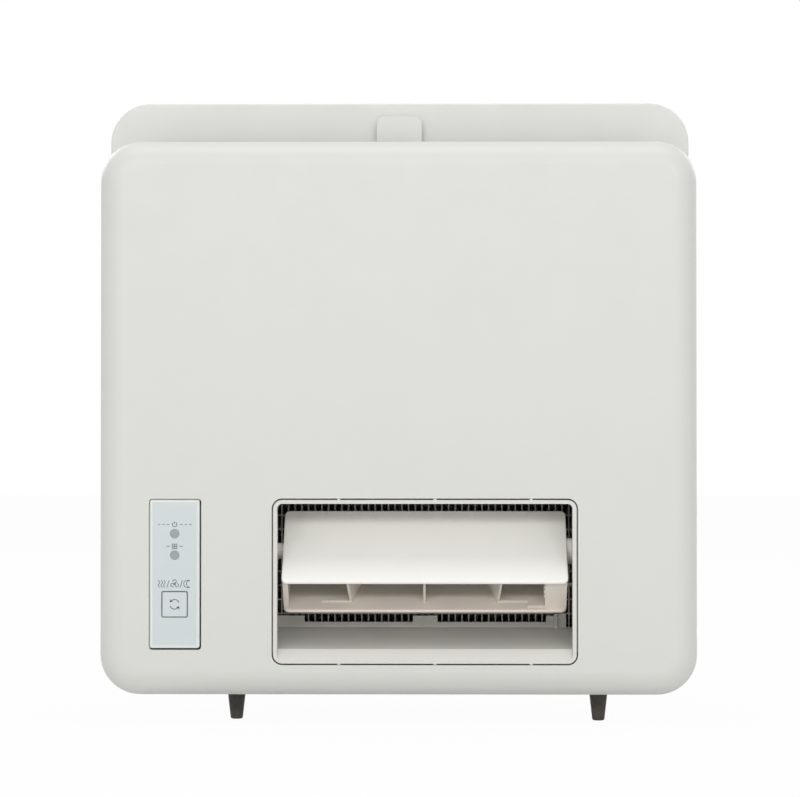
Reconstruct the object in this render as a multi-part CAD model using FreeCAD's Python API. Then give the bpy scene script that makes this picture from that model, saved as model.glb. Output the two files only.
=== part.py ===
import FreeCAD, Part
import math
import os

# Window-mount fan heater, in millimetres. The origin is the centre of the four window fixing holes,
# in the plane where the back plate lies on the window board. X runs to the right as seen from the
# room, Y runs outdoors and Z runs up.

# Front panel
panel_width = 400.0
panel_height = 371.0
panel_depth = 46.0
panel_corner = 27.0
panel_edge = 16.0            # rounding of the front edge
panel_wall = 2.5
panel_boss = 12.0            # diameter of the screw bosses behind the face
panel_boss_inset = 24.0      # from the panel's sides and ends to the bosses
panel_boss_hole_depth = 14.0

# Back plate, a shallow pan open towards the window board
plate_inset = 0.5            # each side is this much narrower than the panel
plate_lift = 2.5             # its bottom edge is this much above the panel's
plate_rise = 32.0            # its top edge stands this much above the panel's
plate_depth = 12.0
plate_wall = 3.0
plate_corner = 27.0
plate_edge = 1.2
intake_gap = 24.0            # open gap between the panel's rear rim and the plate
post_size = 14.0             # diameter of the posts that carry the panel
post_bore = 9.0
post_overlap = 6.0           # how far the posts reach inside the panel
post_floor = 6.0             # material under the panel screws' heads

# Window fixing
fixing_spacing_z = 280.0
fixing_edge = 23.0           # from the lower fixing holes to the plate's bottom edge
fixing_margin = 10.0         # from the casing's flange to the fixing holes
fixing_hole = 5.5
fixing_boss = 14.0
gasket_width = 10.0
gasket_gap = 0.2

# Screws
screw_shank = 4.0
screw_head = 7.6
screw_head_height = 2.4
small_shank = 3.0
small_head = 5.4
small_head_height = 1.8
head_bevel = 0.5             # shares of the head's height and width
recess_depth = 0.6
recess_length = 0.6
recess_width = 0.18
screw_gap = 0.05             # radial, between a screw and its hole

# Outlet bezel and duct
outlet_width = 196.8
outlet_height = 103.7
outlet_shift = 17.8          # centre of the outlet to the right of the panel's centre
outlet_rise = 24.3           # from the panel's bottom to the outlet's lower edge
bezel_width = 2.6
bezel_corner = 6.0
bezel_gap = 0.95
bezel_rib = 2.0              # width of the small locating ribs in the gap
bezel_rib_shift = 6.8
bezel_rib_spacing = 64.0
bezel_rib_gap = 0.1
duct_wall = 2.4
duct_side = 4.5              # the duct is this much wider than the outlet on each side
lip_depth = 7.0              # flared lip at the front of the duct's floor
lip_height = 6.7
floor_rise = 11.1            # climb of the floor from the lip to the rail
rail_depth = 4.0
rail_height = 7.9
notch_depth = 4.3
notch_width = 74.4
notch_gap = 16.9             # between the two notches
rail_block = 6.0             # block at the rail's right end
rail_block_height = 9.4
rail_block_inset = 1.8
rail_post = 2.4
stop_rib_length = 2.5
stop_rib_height = 1.5
stop_rib_drop = 57.0         # from the outlet's top edge to the stop rib
ear_size = 12.0
ear_thickness = 3.0
ear_gap = 0.6                # between the ears and the heater's flange
ear_inset = 15.0             # from the duct's top and bottom to the ears

# Guard and heater
guard_thickness = 1.5
guard_bar = 0.9
guard_columns = 45
guard_rows = 9
heater_wall = 3.0
heater_flange = 2.5          # thickness of the flange in front of the plate
heater_flange_reach = 4.0
heater_depth = 26.5
heater_gap = 0.3             # between the heater's frame and the plate's opening
bar_count = 4
bar_height = 8.0
bar_depth = 12.0
fin_pitch = 6.8
fin_sheet = 0.6
fin_gap = 0.1
thermostat_size = 16.0
thermostat_height = 9.0
thermostat_place = 0.72      # share of the heater's width from its left end
thermostat_tab_length = 24.0
thermostat_tab_width = 6.0
thermostat_tab_thickness = 1.2
thermostat_pin = 0.8
thermostat_pin_height = 7.0
thermostat_pin_spacing = 8.0
fuse_size = 5.0
fuse_length = 18.0
fuse_place = 0.86

# Louver, drawn level with its pivot at zero and then tilted
louver_side_gap = 2.85       # between the louver's ends and the duct's walls
louver_tilt = 43.3           # degrees, at rest
flap_front = 39.3            # from the pivot's foot to the flap's front edge
flap_rear = 28.2
flap_standoff = 9.4          # from the pivot to the middle of the flap
flap_thickness = 2.5
flap_corner = 4.0
flap_edge = 0.9
flap_rear_room = 1.8         # between the flap's rear edge, swung level with the pivot, and the guard
flap_head_room = 2.6         # between the flap's rear edge, swung to the top, and the duct
tray_front = 40.4
tray_drop = 15.3             # front edge of the lower blade below the pivot
tray_slope = 12.9            # degrees that the lower blade falls towards the rear
tray_length = 32.4
tray_thickness = 2.4
tray_inset = 0.5             # from the flap's ends to the lower blade's
tray_corner = 4.0
tray_edge = 0.9
cheek_left = 3.6
cheek_right = 14.6
cheek_rear = 9.0             # behind the pivot
cheek_setback = 3.4          # top of the cheeks behind the flap's front edge
cheek_round = 2.4            # where the cheeks' outer sides meet the flap
nub_size = 1.8               # row of small nubs on the right cheek's inner side
nub_length = 3.0
nub_count = 3
nub_drop = 6.0               # from the flap to the first nub
nub_spacing = 4.5
vane_spacing = 49.5
vane_shift = -0.3            # from the louver's middle to the middle vane
vane_thickness = 1.6
vane_splay = 15.5            # degrees that the outer vanes turn outwards
vane_front = 37.6            # at the flap
vane_foot = 30.2             # at the lower blade
vane_rear = 10.0
tray_ridge = 20.0            # ridges across the lower blade at the outer vanes' feet
tray_ridge_height = 0.8
front_ridge = 11.7           # short ridge beside the right cheek
front_ridge_back = 4.3       # from the lower blade's front edge

# Louver pivots
pin_size = 6.0
pin_collar = 10.8
pin_boss = 12.0
pin_boss_length = 3.0
hub_spigot = 10.0
hub_spigot_length = 8.0
hub_collar = 17.5
hub_step = 13.0
hub_journal = 9.0
running_gap = 0.05           # radial, for shafts that turn
fit_gap = 0.02               # radial, for shafts that are fixed
axial_gap = 0.3

# Small geared motors for the louver and the shutter
stepper_size = 24.0
stepper_depth = 15.0
stepper_offset = 7.0         # from the body's centre to the shaft
stepper_shaft = 5.0
stepper_bore_depth = 8.0
stepper_socket = 6.0         # length of shaft in what it drives
stepper_tab = 7.0
stepper_tab_reach = 16.0
stepper_tab_thickness = 1.2
stepper_plug = 10.0
stepper_plug_depth = 4.0

# Control strip
fascia_width = 33.3
fascia_height = 98.9
fascia_inset = 34.5          # from the panel's left side to the fascia
fascia_rise = 31.9           # from the panel's bottom to the fascia
fascia_corner = 1.7
fascia_gap = 0.5
fascia_slack = 0.6           # added to the gap on the right and below
fascia_edge = 0.8
fascia_recess = 0.3
fascia_skin = 1.8
fascia_depth = 11.7
fascia_flange = 3.0
fascia_flange_thickness = 1.5
lamp_size = 5.9
lamp_flange = 9.0
lamp_flange_thickness = 1.0
lamp_gap = 0.1
upper_lamp_drop = 22.7       # from the fascia's top to the lamps' centres
lower_lamp_drop = 37.0
led_size = 5.0
led_height = 8.0
button_size = 17.0
button_drop = 69.7
button_gap = 0.3
button_corner = 0.8
button_flange = 1.5
button_flange_thickness = 1.2
button_travel = 0.8
button_stem = 6.0
switch_size = 6.0
switch_height = 3.5
plunger_size = 3.4
plunger_proud = 1.3
plunger_depth = 0.9          # held inside the switch at rest
board_thickness = 1.6
control_boss = 6.0
control_boss_inset = 7.0
control_screw_length = 7.0
lead_width = 8.0
lead_shift = 9.0             # from the fascia's middle to the lead
lead_thickness = 1.4
lead_bend = 12.0
lead_drop = 30.0             # from the fascia's top down to the lead's start
lead_rise = 22.0             # from the fascia's top up to its level run

# Filter
filter_width = 200.0
filter_drop = 64.0           # from the fan's axis to the filter's lower edge
filter_top_drop = 10.5       # from the panel's top to the filter's upper edge
filter_thickness = 4.0
filter_border = 8.0
filter_bar = 3.0
filter_gap = 0.4
filter_rail = 3.0
filter_rail_lip = 4.0
filter_lip_thickness = 2.0
filter_stop = 2.0
guide_peg = 2.4              # pegs that hold the filter's guides in the plate
guide_pegs = 3               # in each guide
tab_width = 31.0
tab_rise = 22.5              # above the panel's top
tab_thickness = 3.0
tab_corner = 5.5
tab_root = 12.0              # lap over the filter's frame
net_thickness = 0.6
net_rebate = 2.0

# Feet under the plate's ledge
ledge_thickness = 2.5
ledge_gap = 0.5              # to the panel's rim
ledge_margin = 25.0
foot_left_inset = 88.3       # from the panel's sides to the feet
foot_right_inset = 64.0
foot_left_back = 7.0         # from the plate's front to the left foot
foot_right_front = 7.5       # from the panel's rim to the right foot
foot_top = 13.4
foot_bottom = 8.2
foot_height = 23.2
foot_edge = 1.3
foot_neck = 6.0
foot_head = 9.2
foot_head_height = 2.5
grommet_inset = 140.0        # from the panel's right side
grommet_hole = 12.0
grommet_flange = 16.0
grommet_bore = 8.0
grommet_flange_height = 2.0

# Fan
fan_shift = 12.0             # from the outlet's centre
fan_lift = 78.0              # from the plenum shelf to the fan's axis
fan_radius = 62.0
blade_length = 53.0
blade_depth = 12.0
blade_count = 36
blade_thickness = 1.3
blade_bend = 1.2             # degrees, at half depth
blade_lead = 6.5             # degrees, at the tip
fan_disc = 2.0
fan_ring = 3.0
fan_ring_width = 3.5
fan_rim_proud = 0.1          # ring and disc beyond the blades' tips
fan_front_gap = 3.0          # between the wheel and the scroll's front wall
fan_rear_gap = 4.0
hub_size = 18.0
hub_length = 25.0
shaft_size = 8.0
shaft_front = 11.0           # shaft in front of the hub
shaft_tail = 36.0            # shaft inside the motor
nut_size = 13.0
nut_length = 6.0
tongue_gap = 8.0
tongue_angle = 235.0
scroll_growth = 10.0         # each quarter turn
scroll_wall = 2.0
shelf_drop = 2.5             # top of the plenum shelf below the outlet's top
shelf_thickness = 2.0
shelf_notch_gap = 1.0        # round the shutter's motor
inlet_throat = 50.0
inlet_bell = 12.0
inlet_bell_length = 14.4
bell_middle_across = 0.3     # where the bell's curve passes, as a share of its width
bell_middle_along = 0.42     # and of its length
inlet_wall = 2.0
inlet_flange = 6.0
inlet_flange_thickness = 2.0
inlet_clearance = 2.0
inlet_lap = 1.5              # throat inside the scroll's front wall
motor_radius = 36.0
motor_length = 40.0
motor_flange = 44.0
motor_flange_thickness = 2.0
motor_boss = 14.0
motor_boss_length = 4.0
motor_hole = 22.0
motor_screw_circle = 40.2

# Casing through the window
casing_wall = 2.0
casing_corner = 7.0
casing_edge = 1.4            # rounding of the rear panel's rim
casing_flange = 11.0
casing_side_room = 3.3
casing_under_room = 0.6
casing_top_room = 5.0
casing_rear_room = 14.0
casing_screw_length = 2.0
casing_bead = 11.0           # raised beads that stiffen the top and the sides
casing_bead_height = 1.5
casing_bead_margin = 17.0    # from the flange and the back to the beads' ends
casing_bead_corner = 4.5
casing_bead_bevel = 1.0
casing_beads = 4             # on the top and on each side
casing_field_margin = 18.0   # round the rear panel's raised field, above the grille
casing_field_corner = 12.0

# Exhaust
exhaust_margin = 25.0
exhaust_bottom_margin = 14.0
exhaust_top_margin = 12.0
exhaust_corner = 4.0
shutter_frame_border = 8.0
shutter_frame_thickness = 4.0
shutter_lap = 2.0
shutter_gap = 0.4
shutter_thickness = 2.0
shutter_bead = 3.0
shutter_bead_count = 3
knuckle_size = 8.0
knuckle_length = 16.0
knuckle_rise = 5.0           # hinge above the exhaust opening
shutter_axis_back = 5.0      # hinge in front of the shutter's frame
shutter_ear = 4.0
shutter_ear_size = 10.0
shutter_pin_size = 4.0
shutter_pin_head = 7.0
shutter_pin_head_height = 1.5
grille_border = 12.0
grille_lip = 2.0
grille_depth = 12.0
grille_corner = 6.0
slat_pitch = 9.5
slat_thickness = 1.6
slat_fall = 8.0
slat_margin = 1.0
mullion = 3.0
grille_screw_inset = 7.0

# Power board
board_box_width = 60.0
board_box_height = 140.0
board_box_depth = 46.0
board_box_inset = 14.0       # from the panel's right side
board_box_rise = 17.5        # above the outlet's top
board_box_wall = 2.0
board_box_corner = 4.0
board_margin = 4.0
board_standoff = 8.0
standoff_size = 8.0
peg_size = 3.0
peg_inset = 7.0
terminal_width = 30.0
terminal_height = 16.0
terminal_depth = 14.0
terminal_screw_hole = 6.4
terminal_wire_hole = 5.4
transformer = (26.0, 22.0, 28.0)     # width, depth and height
transformer_place = (-3.0, 28.0)     # across from the board's middle, and down from its top
relay = (10.0, 15.0, 20.0)
relay_places = ((-9.0, 60.0), (7.0, 60.0))
capacitor_size = 14.0
capacitor_depth = 20.0
capacitor_place = (-12.0, 84.0)
sink = (14.0, 18.0, 13.0)
sink_place = (7.0, 88.5)
sink_base = 2.0
sink_rib = 1.5
sink_ribs = 4

# Main planes
plate_front = -plate_depth
plate_back = plate_front + plate_wall
rim_y = plate_front - intake_gap
face_y = rim_y - panel_depth
post_end = rim_y - post_overlap
panel_half = panel_width / 2
plate_half = panel_half - plate_inset
fixing_z = fixing_spacing_z / 2
plate_bottom = -fixing_z - fixing_edge
panel_bottom = plate_bottom - plate_lift
panel_top = panel_bottom + panel_height
plate_top = panel_top + plate_rise
screw_hole = screw_shank / 2 + screw_gap
small_hole = small_shank / 2 + screw_gap

# Outlet and heater places
outlet_left = outlet_shift - outlet_width / 2
outlet_right = outlet_shift + outlet_width / 2
outlet_bottom = panel_bottom + outlet_rise
outlet_top = outlet_bottom + outlet_height
floor_front = outlet_bottom + lip_height
floor_back = floor_front + floor_rise
heater_front = plate_front - heater_flange
heater_rear = heater_front + heater_depth
guard_front = heater_front - guard_thickness
rail_front = guard_front - rail_depth
floor_slope = floor_rise / (rail_front - face_y - lip_depth)
duct_inner = (outlet_left - duct_side, outlet_right + duct_side)
heater_x = (duct_inner[0] - heater_wall, duct_inner[1] + heater_wall)
heater_z = (floor_back - heater_wall, outlet_top + heater_wall)
duct_x = (duct_inner[0] - duct_wall, duct_inner[1] + duct_wall)
duct_z = (floor_back - duct_wall, outlet_top + duct_wall)
ear_front = guard_front - ear_thickness

# Louver places
louver_half = outlet_width / 2 - louver_side_gap
tray_half = louver_half - tray_inset
flap_under = flap_standoff - flap_thickness / 2
pivot_y = guard_front - flap_rear - flap_rear_room
pivot_z = outlet_top - math.hypot(flap_rear, flap_standoff + flap_thickness / 2) - flap_head_room
stepper_face = duct_x[1] + pin_boss_length

# Control strip places
fascia_x = (-panel_half + fascia_inset, -panel_half + fascia_inset + fascia_width)
fascia_z = (panel_bottom + fascia_rise, panel_bottom + fascia_rise + fascia_height)
fascia_mid = (fascia_x[0] + fascia_x[1]) / 2
fascia_front = face_y + fascia_recess
fascia_under = fascia_front + fascia_skin
control_y = fascia_front + fascia_depth
button_z = fascia_z[1] - button_drop
lamp_places = (fascia_z[1] - upper_lamp_drop, fascia_z[1] - lower_lamp_drop)
control_boss_places = (fascia_z[0] + control_boss_inset, fascia_z[1] - control_boss_inset)
button_flange_front = fascia_under + lamp_gap
button_flange_back = button_flange_front + button_flange_thickness
switch_front = control_y - switch_height
plunger_front = switch_front - plunger_proud

# Fan and scroll places
shelf_top = outlet_top - shelf_drop
fan_x = outlet_shift + fan_shift
fan_z = shelf_top + fan_lift
scroll_front = heater_rear
wheel_front = scroll_front + scroll_wall + fan_front_gap
disc_front = wheel_front + blade_length
disc_back = disc_front + fan_disc
scroll_rear = disc_back + fan_rear_gap + scroll_wall
hub_front = disc_back - hub_length
shaft_front_y = hub_front - shaft_front
tight_radius = fan_radius + tongue_gap
scroll_top = fan_z + tight_radius + scroll_growth + scroll_wall
inlet_mouth = inlet_throat + inlet_bell
motor_back = scroll_rear + motor_flange_thickness + motor_length

# Casing places
casing_half = heater_x[1] + casing_side_room
casing_z = (heater_z[0] - casing_under_room, scroll_top + casing_top_room)
casing_rear = motor_back + motor_boss_length + casing_rear_room
casing_outer = casing_half + casing_wall
casing_outer_z = (casing_z[0] - casing_wall, casing_z[1] + casing_wall)
casing_back = casing_rear + casing_wall
fixing_x = casing_outer + casing_flange + fixing_margin

# Exhaust places
exhaust_half = casing_half - exhaust_margin
exhaust_z = (casing_z[0] + exhaust_bottom_margin, shelf_top - shelf_thickness - exhaust_top_margin)
shutter_half = exhaust_half + shutter_lap
shutter_seat = casing_rear - shutter_frame_thickness
shutter_axis_y = shutter_seat - shutter_axis_back
shutter_axis_z = exhaust_z[1] + knuckle_rise
ear_inner = shutter_half + axial_gap
ear_outer = ear_inner + shutter_ear

# Filter places
filter_half = filter_width / 2
filter_z = (fan_z - filter_drop, panel_top - filter_top_drop)
filter_back = plate_front - filter_gap
filter_front = filter_back - filter_thickness
filter_lip_back = filter_front - filter_gap

# Foot and board places
foot_left = (-panel_half + foot_left_inset, plate_front - foot_left_back)
foot_right = (panel_half - foot_right_inset, rim_y + foot_right_front)
ledge_x = (foot_left[0] - ledge_margin, foot_right[0] + ledge_margin)
ledge_y = (rim_y + ledge_gap, plate_front)
grommet_x = panel_half - grommet_inset
grommet_y = (ledge_y[0] + ledge_y[1]) / 2
box_x = (panel_half - board_box_inset - board_box_width, panel_half - board_box_inset)
box_z = (outlet_top + board_box_rise, outlet_top + board_box_rise + board_box_height)
board_x = (box_x[0] + board_box_wall + board_margin, box_x[1] - board_box_wall - board_margin)
board_z = (box_z[0] + board_box_wall + board_margin, box_z[1] - board_box_wall - board_margin)
board_back = plate_front - board_standoff
board_front = board_back - board_thickness

axis_x = FreeCAD.Vector(1, 0, 0)
axis_y = FreeCAD.Vector(0, 1, 0)
axis_z = FreeCAD.Vector(0, 0, 1)
cut_past = 1.0               # cuts run this far past the faces that they open
tiny = 0.001


def point(x, y, z):
    return FreeCAD.Vector(x, y, z)


def block(x_range, y_range, z_range):
    size = [high - low for low, high in (x_range, y_range, z_range)]
    return Part.makeBox(size[0], size[1], size[2], point(x_range[0], y_range[0], z_range[0]))


def edges_along(shape, axis):
    found = []
    for edge in shape.Edges:
        way = edge.tangentAt(edge.FirstParameter)
        if edge.Curve.TypeId == "Part::GeomLine" and abs(way.dot(axis)) > 1 - tiny:
            found.append(edge)
    return found


def edges_at_y(shape, y):
    return [edge for edge in shape.Edges if all(abs(corner.Y - y) < tiny for corner in edge.Vertexes)]


def rounded(x_range, y_range, z_range, axis, corner):
    """A block whose edges along one axis are rounded."""
    body = block(x_range, y_range, z_range)
    return body.makeFillet(corner, edges_along(body, axis))


def grown(span, amount):
    return (span[0] - amount, span[1] + amount)


def around(middle, width):
    return (middle - width / 2, middle + width / 2)


def rod_x(x_range, y, z, radius):
    return Part.makeCylinder(radius, x_range[1] - x_range[0], point(x_range[0], y, z), axis_x)


def rod_y(y_range, x, z, radius):
    return Part.makeCylinder(radius, y_range[1] - y_range[0], point(x, y_range[0], z), axis_y)


def rod_z(z_range, x, y, radius):
    return Part.makeCylinder(radius, z_range[1] - z_range[0], point(x, y, z_range[0]), axis_z)


def prism_x(outline, x_range):
    """A straight piece along X with a corner for each (y, z) pair."""
    corners = [point(x_range[0], y, z) for y, z in outline]
    face = Part.Face(Part.makePolygon(corners + corners[:1]))
    return face.extrude(axis_x * (x_range[1] - x_range[0]))


def prism_y(outline, y_range):
    """A straight piece along Y with a corner for each (x, z) pair."""
    corners = [point(x, y_range[0], z) for x, z in outline]
    face = Part.Face(Part.makePolygon(corners + corners[:1]))
    return face.extrude(axis_y * (y_range[1] - y_range[0]))


def screw(seat, way, shank, length, head, head_height):
    """A pan-head screw whose head rests on its seat and whose shank runs along way."""
    stem = rod_z((0, length), 0, 0, shank / 2)
    cap = rod_z((-head_height, 0), 0, 0, head / 2)
    rims = [edge for edge in cap.Edges if edge.Closed and edge.Vertexes[0].Z < -tiny]
    body = cap.makeChamfer(head_height * head_bevel, rims).fuse(stem).removeSplitter()
    recess_z = (-head_height - cut_past, -head_height * (1 - recess_depth))
    bars = (around(0, head * recess_length), around(0, head * recess_width))
    for across, along in (bars, bars[::-1]):
        body = body.cut(block(across, along, recess_z))
    body.Placement = FreeCAD.Placement(seat, FreeCAD.Rotation(axis_z, way))
    return body


def small_screw(seat, way, length):
    return screw(seat, way, small_shank, length, small_head, small_head_height)


def grid(x_range, y_range, z_range, opening_x, opening_z, columns, rows, bar):
    """A flat grid: one plate with a rectangular hole for each cell of its opening."""
    step_x = (opening_x[1] - opening_x[0] + bar) / columns
    step_z = (opening_z[1] - opening_z[0] + bar) / rows
    y = y_range[0]
    left, right = x_range
    low, high = z_range
    rim_corners = [point(left, y, low), point(right, y, low), point(right, y, high), point(left, y, high)]
    wires = [Part.makePolygon(rim_corners + rim_corners[:1])]
    for column in range(columns):
        for row in range(rows):
            left = opening_x[0] + column * step_x
            low = opening_z[0] + row * step_z
            right = left + step_x - bar
            high = low + step_z - bar
            cell = [point(left, y, low), point(left, y, high), point(right, y, high), point(right, y, low)]
            wires.append(Part.makePolygon(cell + cell[:1]))
    face = Part.Face(wires, "Part::FaceMakerBullseye")
    return face.extrude(axis_y * (y_range[1] - y_range[0]))


def save(name, *pieces):
    shape = pieces[0] if len(pieces) == 1 else Part.makeCompound(pieces)
    shape.exportStep(os.path.join("parts", name + ".step"))


def post_places():
    x = panel_half - panel_boss_inset
    low = panel_bottom + panel_boss_inset
    high = panel_top - panel_boss_inset
    return [(-x, low), (x, low), (-x, high), (x, high)]


def fixing_places():
    return [(x, z) for x in (-fixing_x, fixing_x) for z in (-fixing_z, fixing_z)]


def casing_screw_places():
    """Two screws on each side of the casing's flange, a quarter in from its corners."""
    x = casing_outer + casing_flange / 2
    low = casing_outer_z[0] - casing_flange / 2
    high = casing_outer_z[1] + casing_flange / 2
    quarter_x = casing_outer / 2
    third_z = (high - low) / 3
    sides = [(end, low + third_z * step) for end in (-x, x) for step in (1, 2)]
    ends = [(side, z) for z in (low, high) for side in (-quarter_x, quarter_x)]
    return sides + ends


def ear_places():
    reach = heater_flange_reach + ear_gap + ear_size / 2
    left = heater_x[0] - reach
    right = heater_x[1] + reach
    low = duct_z[0] + ear_inset
    high = duct_z[1] - ear_inset
    return [(left, low), (left, high), (right, low), (right, high)]


def front_form(inset):
    """The panel's outer form, drawn in by inset on every side but the open rear."""
    half = panel_half - inset
    body = rounded((-half, half), (face_y + inset, rim_y), (panel_bottom + inset, panel_top - inset),
                   axis_y, panel_corner - inset)
    return body.makeFillet(panel_edge - inset, edges_at_y(body, face_y + inset))


def make_front_panel():
    panel = front_form(0).cut(front_form(panel_wall))
    cut_y = (face_y - cut_past, face_y + panel_wall + cut_past)
    bezel_edge = bezel_width + bezel_gap
    opening_x = grown((outlet_left, outlet_right), bezel_edge)
    opening_z = grown((outlet_bottom, outlet_top), bezel_edge)
    panel = panel.cut(rounded(opening_x, cut_y, opening_z, axis_y, bezel_corner + bezel_gap))
    strip_x = (fascia_x[0] - fascia_gap, fascia_x[1] + fascia_gap + fascia_slack)
    strip_z = (fascia_z[0] - fascia_gap - fascia_slack, fascia_z[1] + fascia_gap)
    panel = panel.cut(rounded(strip_x, cut_y, strip_z, axis_y, fascia_corner + fascia_gap))
    for x, z in post_places():
        panel = panel.fuse(rod_y((face_y + panel_wall / 2, post_end), x, z, panel_boss / 2))
    for x, z in post_places():
        panel = panel.cut(rod_y((post_end - panel_boss_hole_depth, post_end), x, z, screw_hole))
    save("front_panel", panel.removeSplitter())


def make_panel_screws():
    length = post_floor + panel_boss_hole_depth - panel_wall
    seat_y = post_end + post_floor
    screws = []
    for x, z in post_places():
        seat = point(x, seat_y, z)
        screws.append(screw(seat, axis_y * -1, screw_shank, length, screw_head, screw_head_height))
    save("panel_screws", *screws)


def plate_form(y_range, inset):
    """A block with the plate's outline, drawn in by inset."""
    half = plate_half - inset
    return rounded((-half, half), y_range, grown((plate_bottom, plate_top), -inset), axis_y,
                   plate_corner - inset)


def make_plate_rim():
    """The rim behind the plate's edge, which lies on the window board."""
    wall_y = (plate_back, 0)
    save("plate_rim", plate_form(wall_y, 0).cut(plate_form(grown(wall_y, cut_past), plate_wall)))


def guide_peg_places():
    x = filter_half + filter_gap + filter_rail / 2
    length = filter_z[1] - filter_z[0]
    levels = [filter_z[0] + length * (number + 0.5) / guide_pegs for number in range(guide_pegs)]
    return [(side * x, z) for side in (-1, 1) for z in levels]


def make_filter_guides():
    """Two guides with inward lips, pegged to the plate, and a stop across their lower ends."""
    lip_front = filter_lip_back - filter_lip_thickness
    inner = filter_half + filter_gap
    outer = inner + filter_rail
    rail_z = (filter_z[0] - filter_gap, filter_z[1])
    pieces = [block((-outer, outer), (lip_front, plate_front), (rail_z[0] - filter_stop, rail_z[0]))]
    for side in (-1, 1):
        web = block(sorted((side * inner, side * outer)), (lip_front, plate_front), rail_z)
        lip_x = sorted((side * (filter_half - filter_rail_lip), side * outer))
        lip = block(lip_x, (lip_front, filter_lip_back), rail_z)
        pegs = [rod_y((lip_front, plate_back), x, z, guide_peg / 2) for x, z in guide_peg_places()
                if x * side > 0]
        pieces.append(web.multiFuse([lip] + pegs).removeSplitter())
    save("filter_guides", *pieces)


def peg_places():
    x = (board_x[0] + peg_inset, board_x[1] - peg_inset)
    z = (board_z[0] + peg_inset, board_z[1] - peg_inset)
    return [(across, up) for across in x for up in z]


def make_back_plate():
    plate = plate_form((plate_front, plate_back), 0)
    plate = plate.makeFillet(plate_edge, edges_at_y(plate, plate_front))
    added = []
    ledge_z = (plate_bottom, plate_bottom + ledge_thickness)
    added.append(block(ledge_x, (ledge_y[0], plate_front + plate_wall), ledge_z))
    for x, z in post_places():
        added.append(rod_y((post_end, plate_back), x, z, post_size / 2))
    for x, z in fixing_places():
        added.append(rod_y((plate_back - plate_wall / 2, 0), x, z, fixing_boss / 2))
    for x, z in peg_places():
        added.append(rod_y((board_back, plate_front + plate_wall / 2), x, z, standoff_size / 2))
        added.append(rod_y((board_front - board_thickness, board_back), x, z, peg_size / 2))
    plate = plate.multiFuse(added)
    through = (plate_front - cut_past, plate_back + cut_past)
    cuts = [block(grown(heater_x, heater_gap), through, grown(heater_z, heater_gap))]
    cuts.append(rod_y(through, fan_x, fan_z, inlet_mouth))
    for x, z in post_places():
        cuts.append(rod_y((post_end + post_floor, cut_past), x, z, post_bore / 2))
        cuts.append(rod_y((post_end - cut_past, 0), x, z, screw_hole))
    for x, z in fixing_places():
        cuts.append(rod_y((plate_front - cut_past, cut_past), x, z, fixing_hole / 2))
    for x, z in ear_places():
        cuts.append(rod_y((plate_front - cut_past, plate_front + plate_wall), x, z, small_hole))
    for x, z in casing_screw_places():
        cuts.append(rod_y((plate_back - casing_screw_length, plate_back + cut_past), x, z, small_hole))
    for x, z in guide_peg_places():
        cuts.append(rod_y(through, x, z, guide_peg / 2 + fit_gap))
    ledge_cut = grown(ledge_z, cut_past)
    for x, y in (foot_left, foot_right):
        cuts.append(rod_z(ledge_cut, x, y, foot_neck / 2 + fit_gap))
    cuts.append(rod_z(ledge_cut, grommet_x, grommet_y, grommet_hole / 2 + fit_gap))
    for cutter in cuts:
        plate = plate.cut(cutter)
    save("back_plate", plate.removeSplitter())


def make_window_gasket():
    outer_inset = plate_wall + gasket_gap
    outer = plate_form((plate_back, 0), outer_inset)
    save("window_gasket", outer.cut(plate_form((plate_back, 0), outer_inset + gasket_width)))


def duct_walls():
    """The bezel, and behind it a wider duct whose floor climbs to the rear."""
    lip_back = face_y + lip_depth
    wide_front = lip_back + duct_wall
    wide_floor = floor_front + duct_wall * floor_slope
    outside = [(lip_back, floor_front - duct_wall), (rail_front, floor_back - duct_wall),
               (guard_front, floor_back - duct_wall), (guard_front, outlet_top + duct_wall),
               (lip_back, outlet_top + duct_wall)]
    mouth = [(face_y - cut_past, outlet_bottom - lip_height / lip_depth * cut_past), (lip_back, floor_front),
             (wide_front, wide_floor), (wide_front, outlet_top), (face_y - cut_past, outlet_top)]
    inside = [(wide_front, wide_floor), (rail_front, floor_back), (guard_front, floor_back),
              (guard_front, outlet_top), (wide_front, outlet_top)]
    outlet_x = (outlet_left, outlet_right)
    outlet_z = (outlet_bottom, outlet_top)
    bezel = rounded(grown(outlet_x, bezel_width), (face_y, lip_back), grown(outlet_z, bezel_width), axis_y,
                    bezel_corner)
    hole = rounded(outlet_x, (face_y - cut_past, wide_front), outlet_z, axis_y, bezel_corner - bezel_width)
    duct = bezel.fuse(prism_x(outside, duct_x))
    duct = duct.cut(prism_x(mouth, outlet_x).common(hole))
    return duct.cut(prism_x(inside, duct_inner))


def duct_rail():
    """The low rail across the rear of the floor, with its two notches, end post and block."""
    rail_y = (rail_front, guard_front)
    post_right = outlet_right - rail_block_inset - rail_block
    rail = block((duct_inner[0], post_right), rail_y, (floor_back, floor_back + rail_height))
    first = outlet_shift - notch_gap / 2 - notch_width
    for left in (first, first + notch_width + notch_gap):
        rail = rail.cut(block((left, left + notch_width), grown(rail_y, cut_past),
                              (floor_back + rail_height - notch_depth, floor_back + rail_height + cut_past)))
    block_top = floor_back + rail_block_height
    end_block = block((post_right, post_right + rail_block), rail_y, (floor_back, block_top))
    post_y = (rail_front - rail_post, guard_front)
    post_foot = floor_back - rail_post * floor_slope
    end_post = block((post_right - rail_post, post_right), post_y, (post_foot, block_top))
    return [rail, end_block, end_post]


def stepper_tab_places():
    """Middles of the louver motor's two fixing tabs, as (y, z)."""
    z = pivot_z - stepper_offset
    return [(pivot_y - stepper_tab_reach, z), (pivot_y + stepper_tab_reach, z)]


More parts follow.
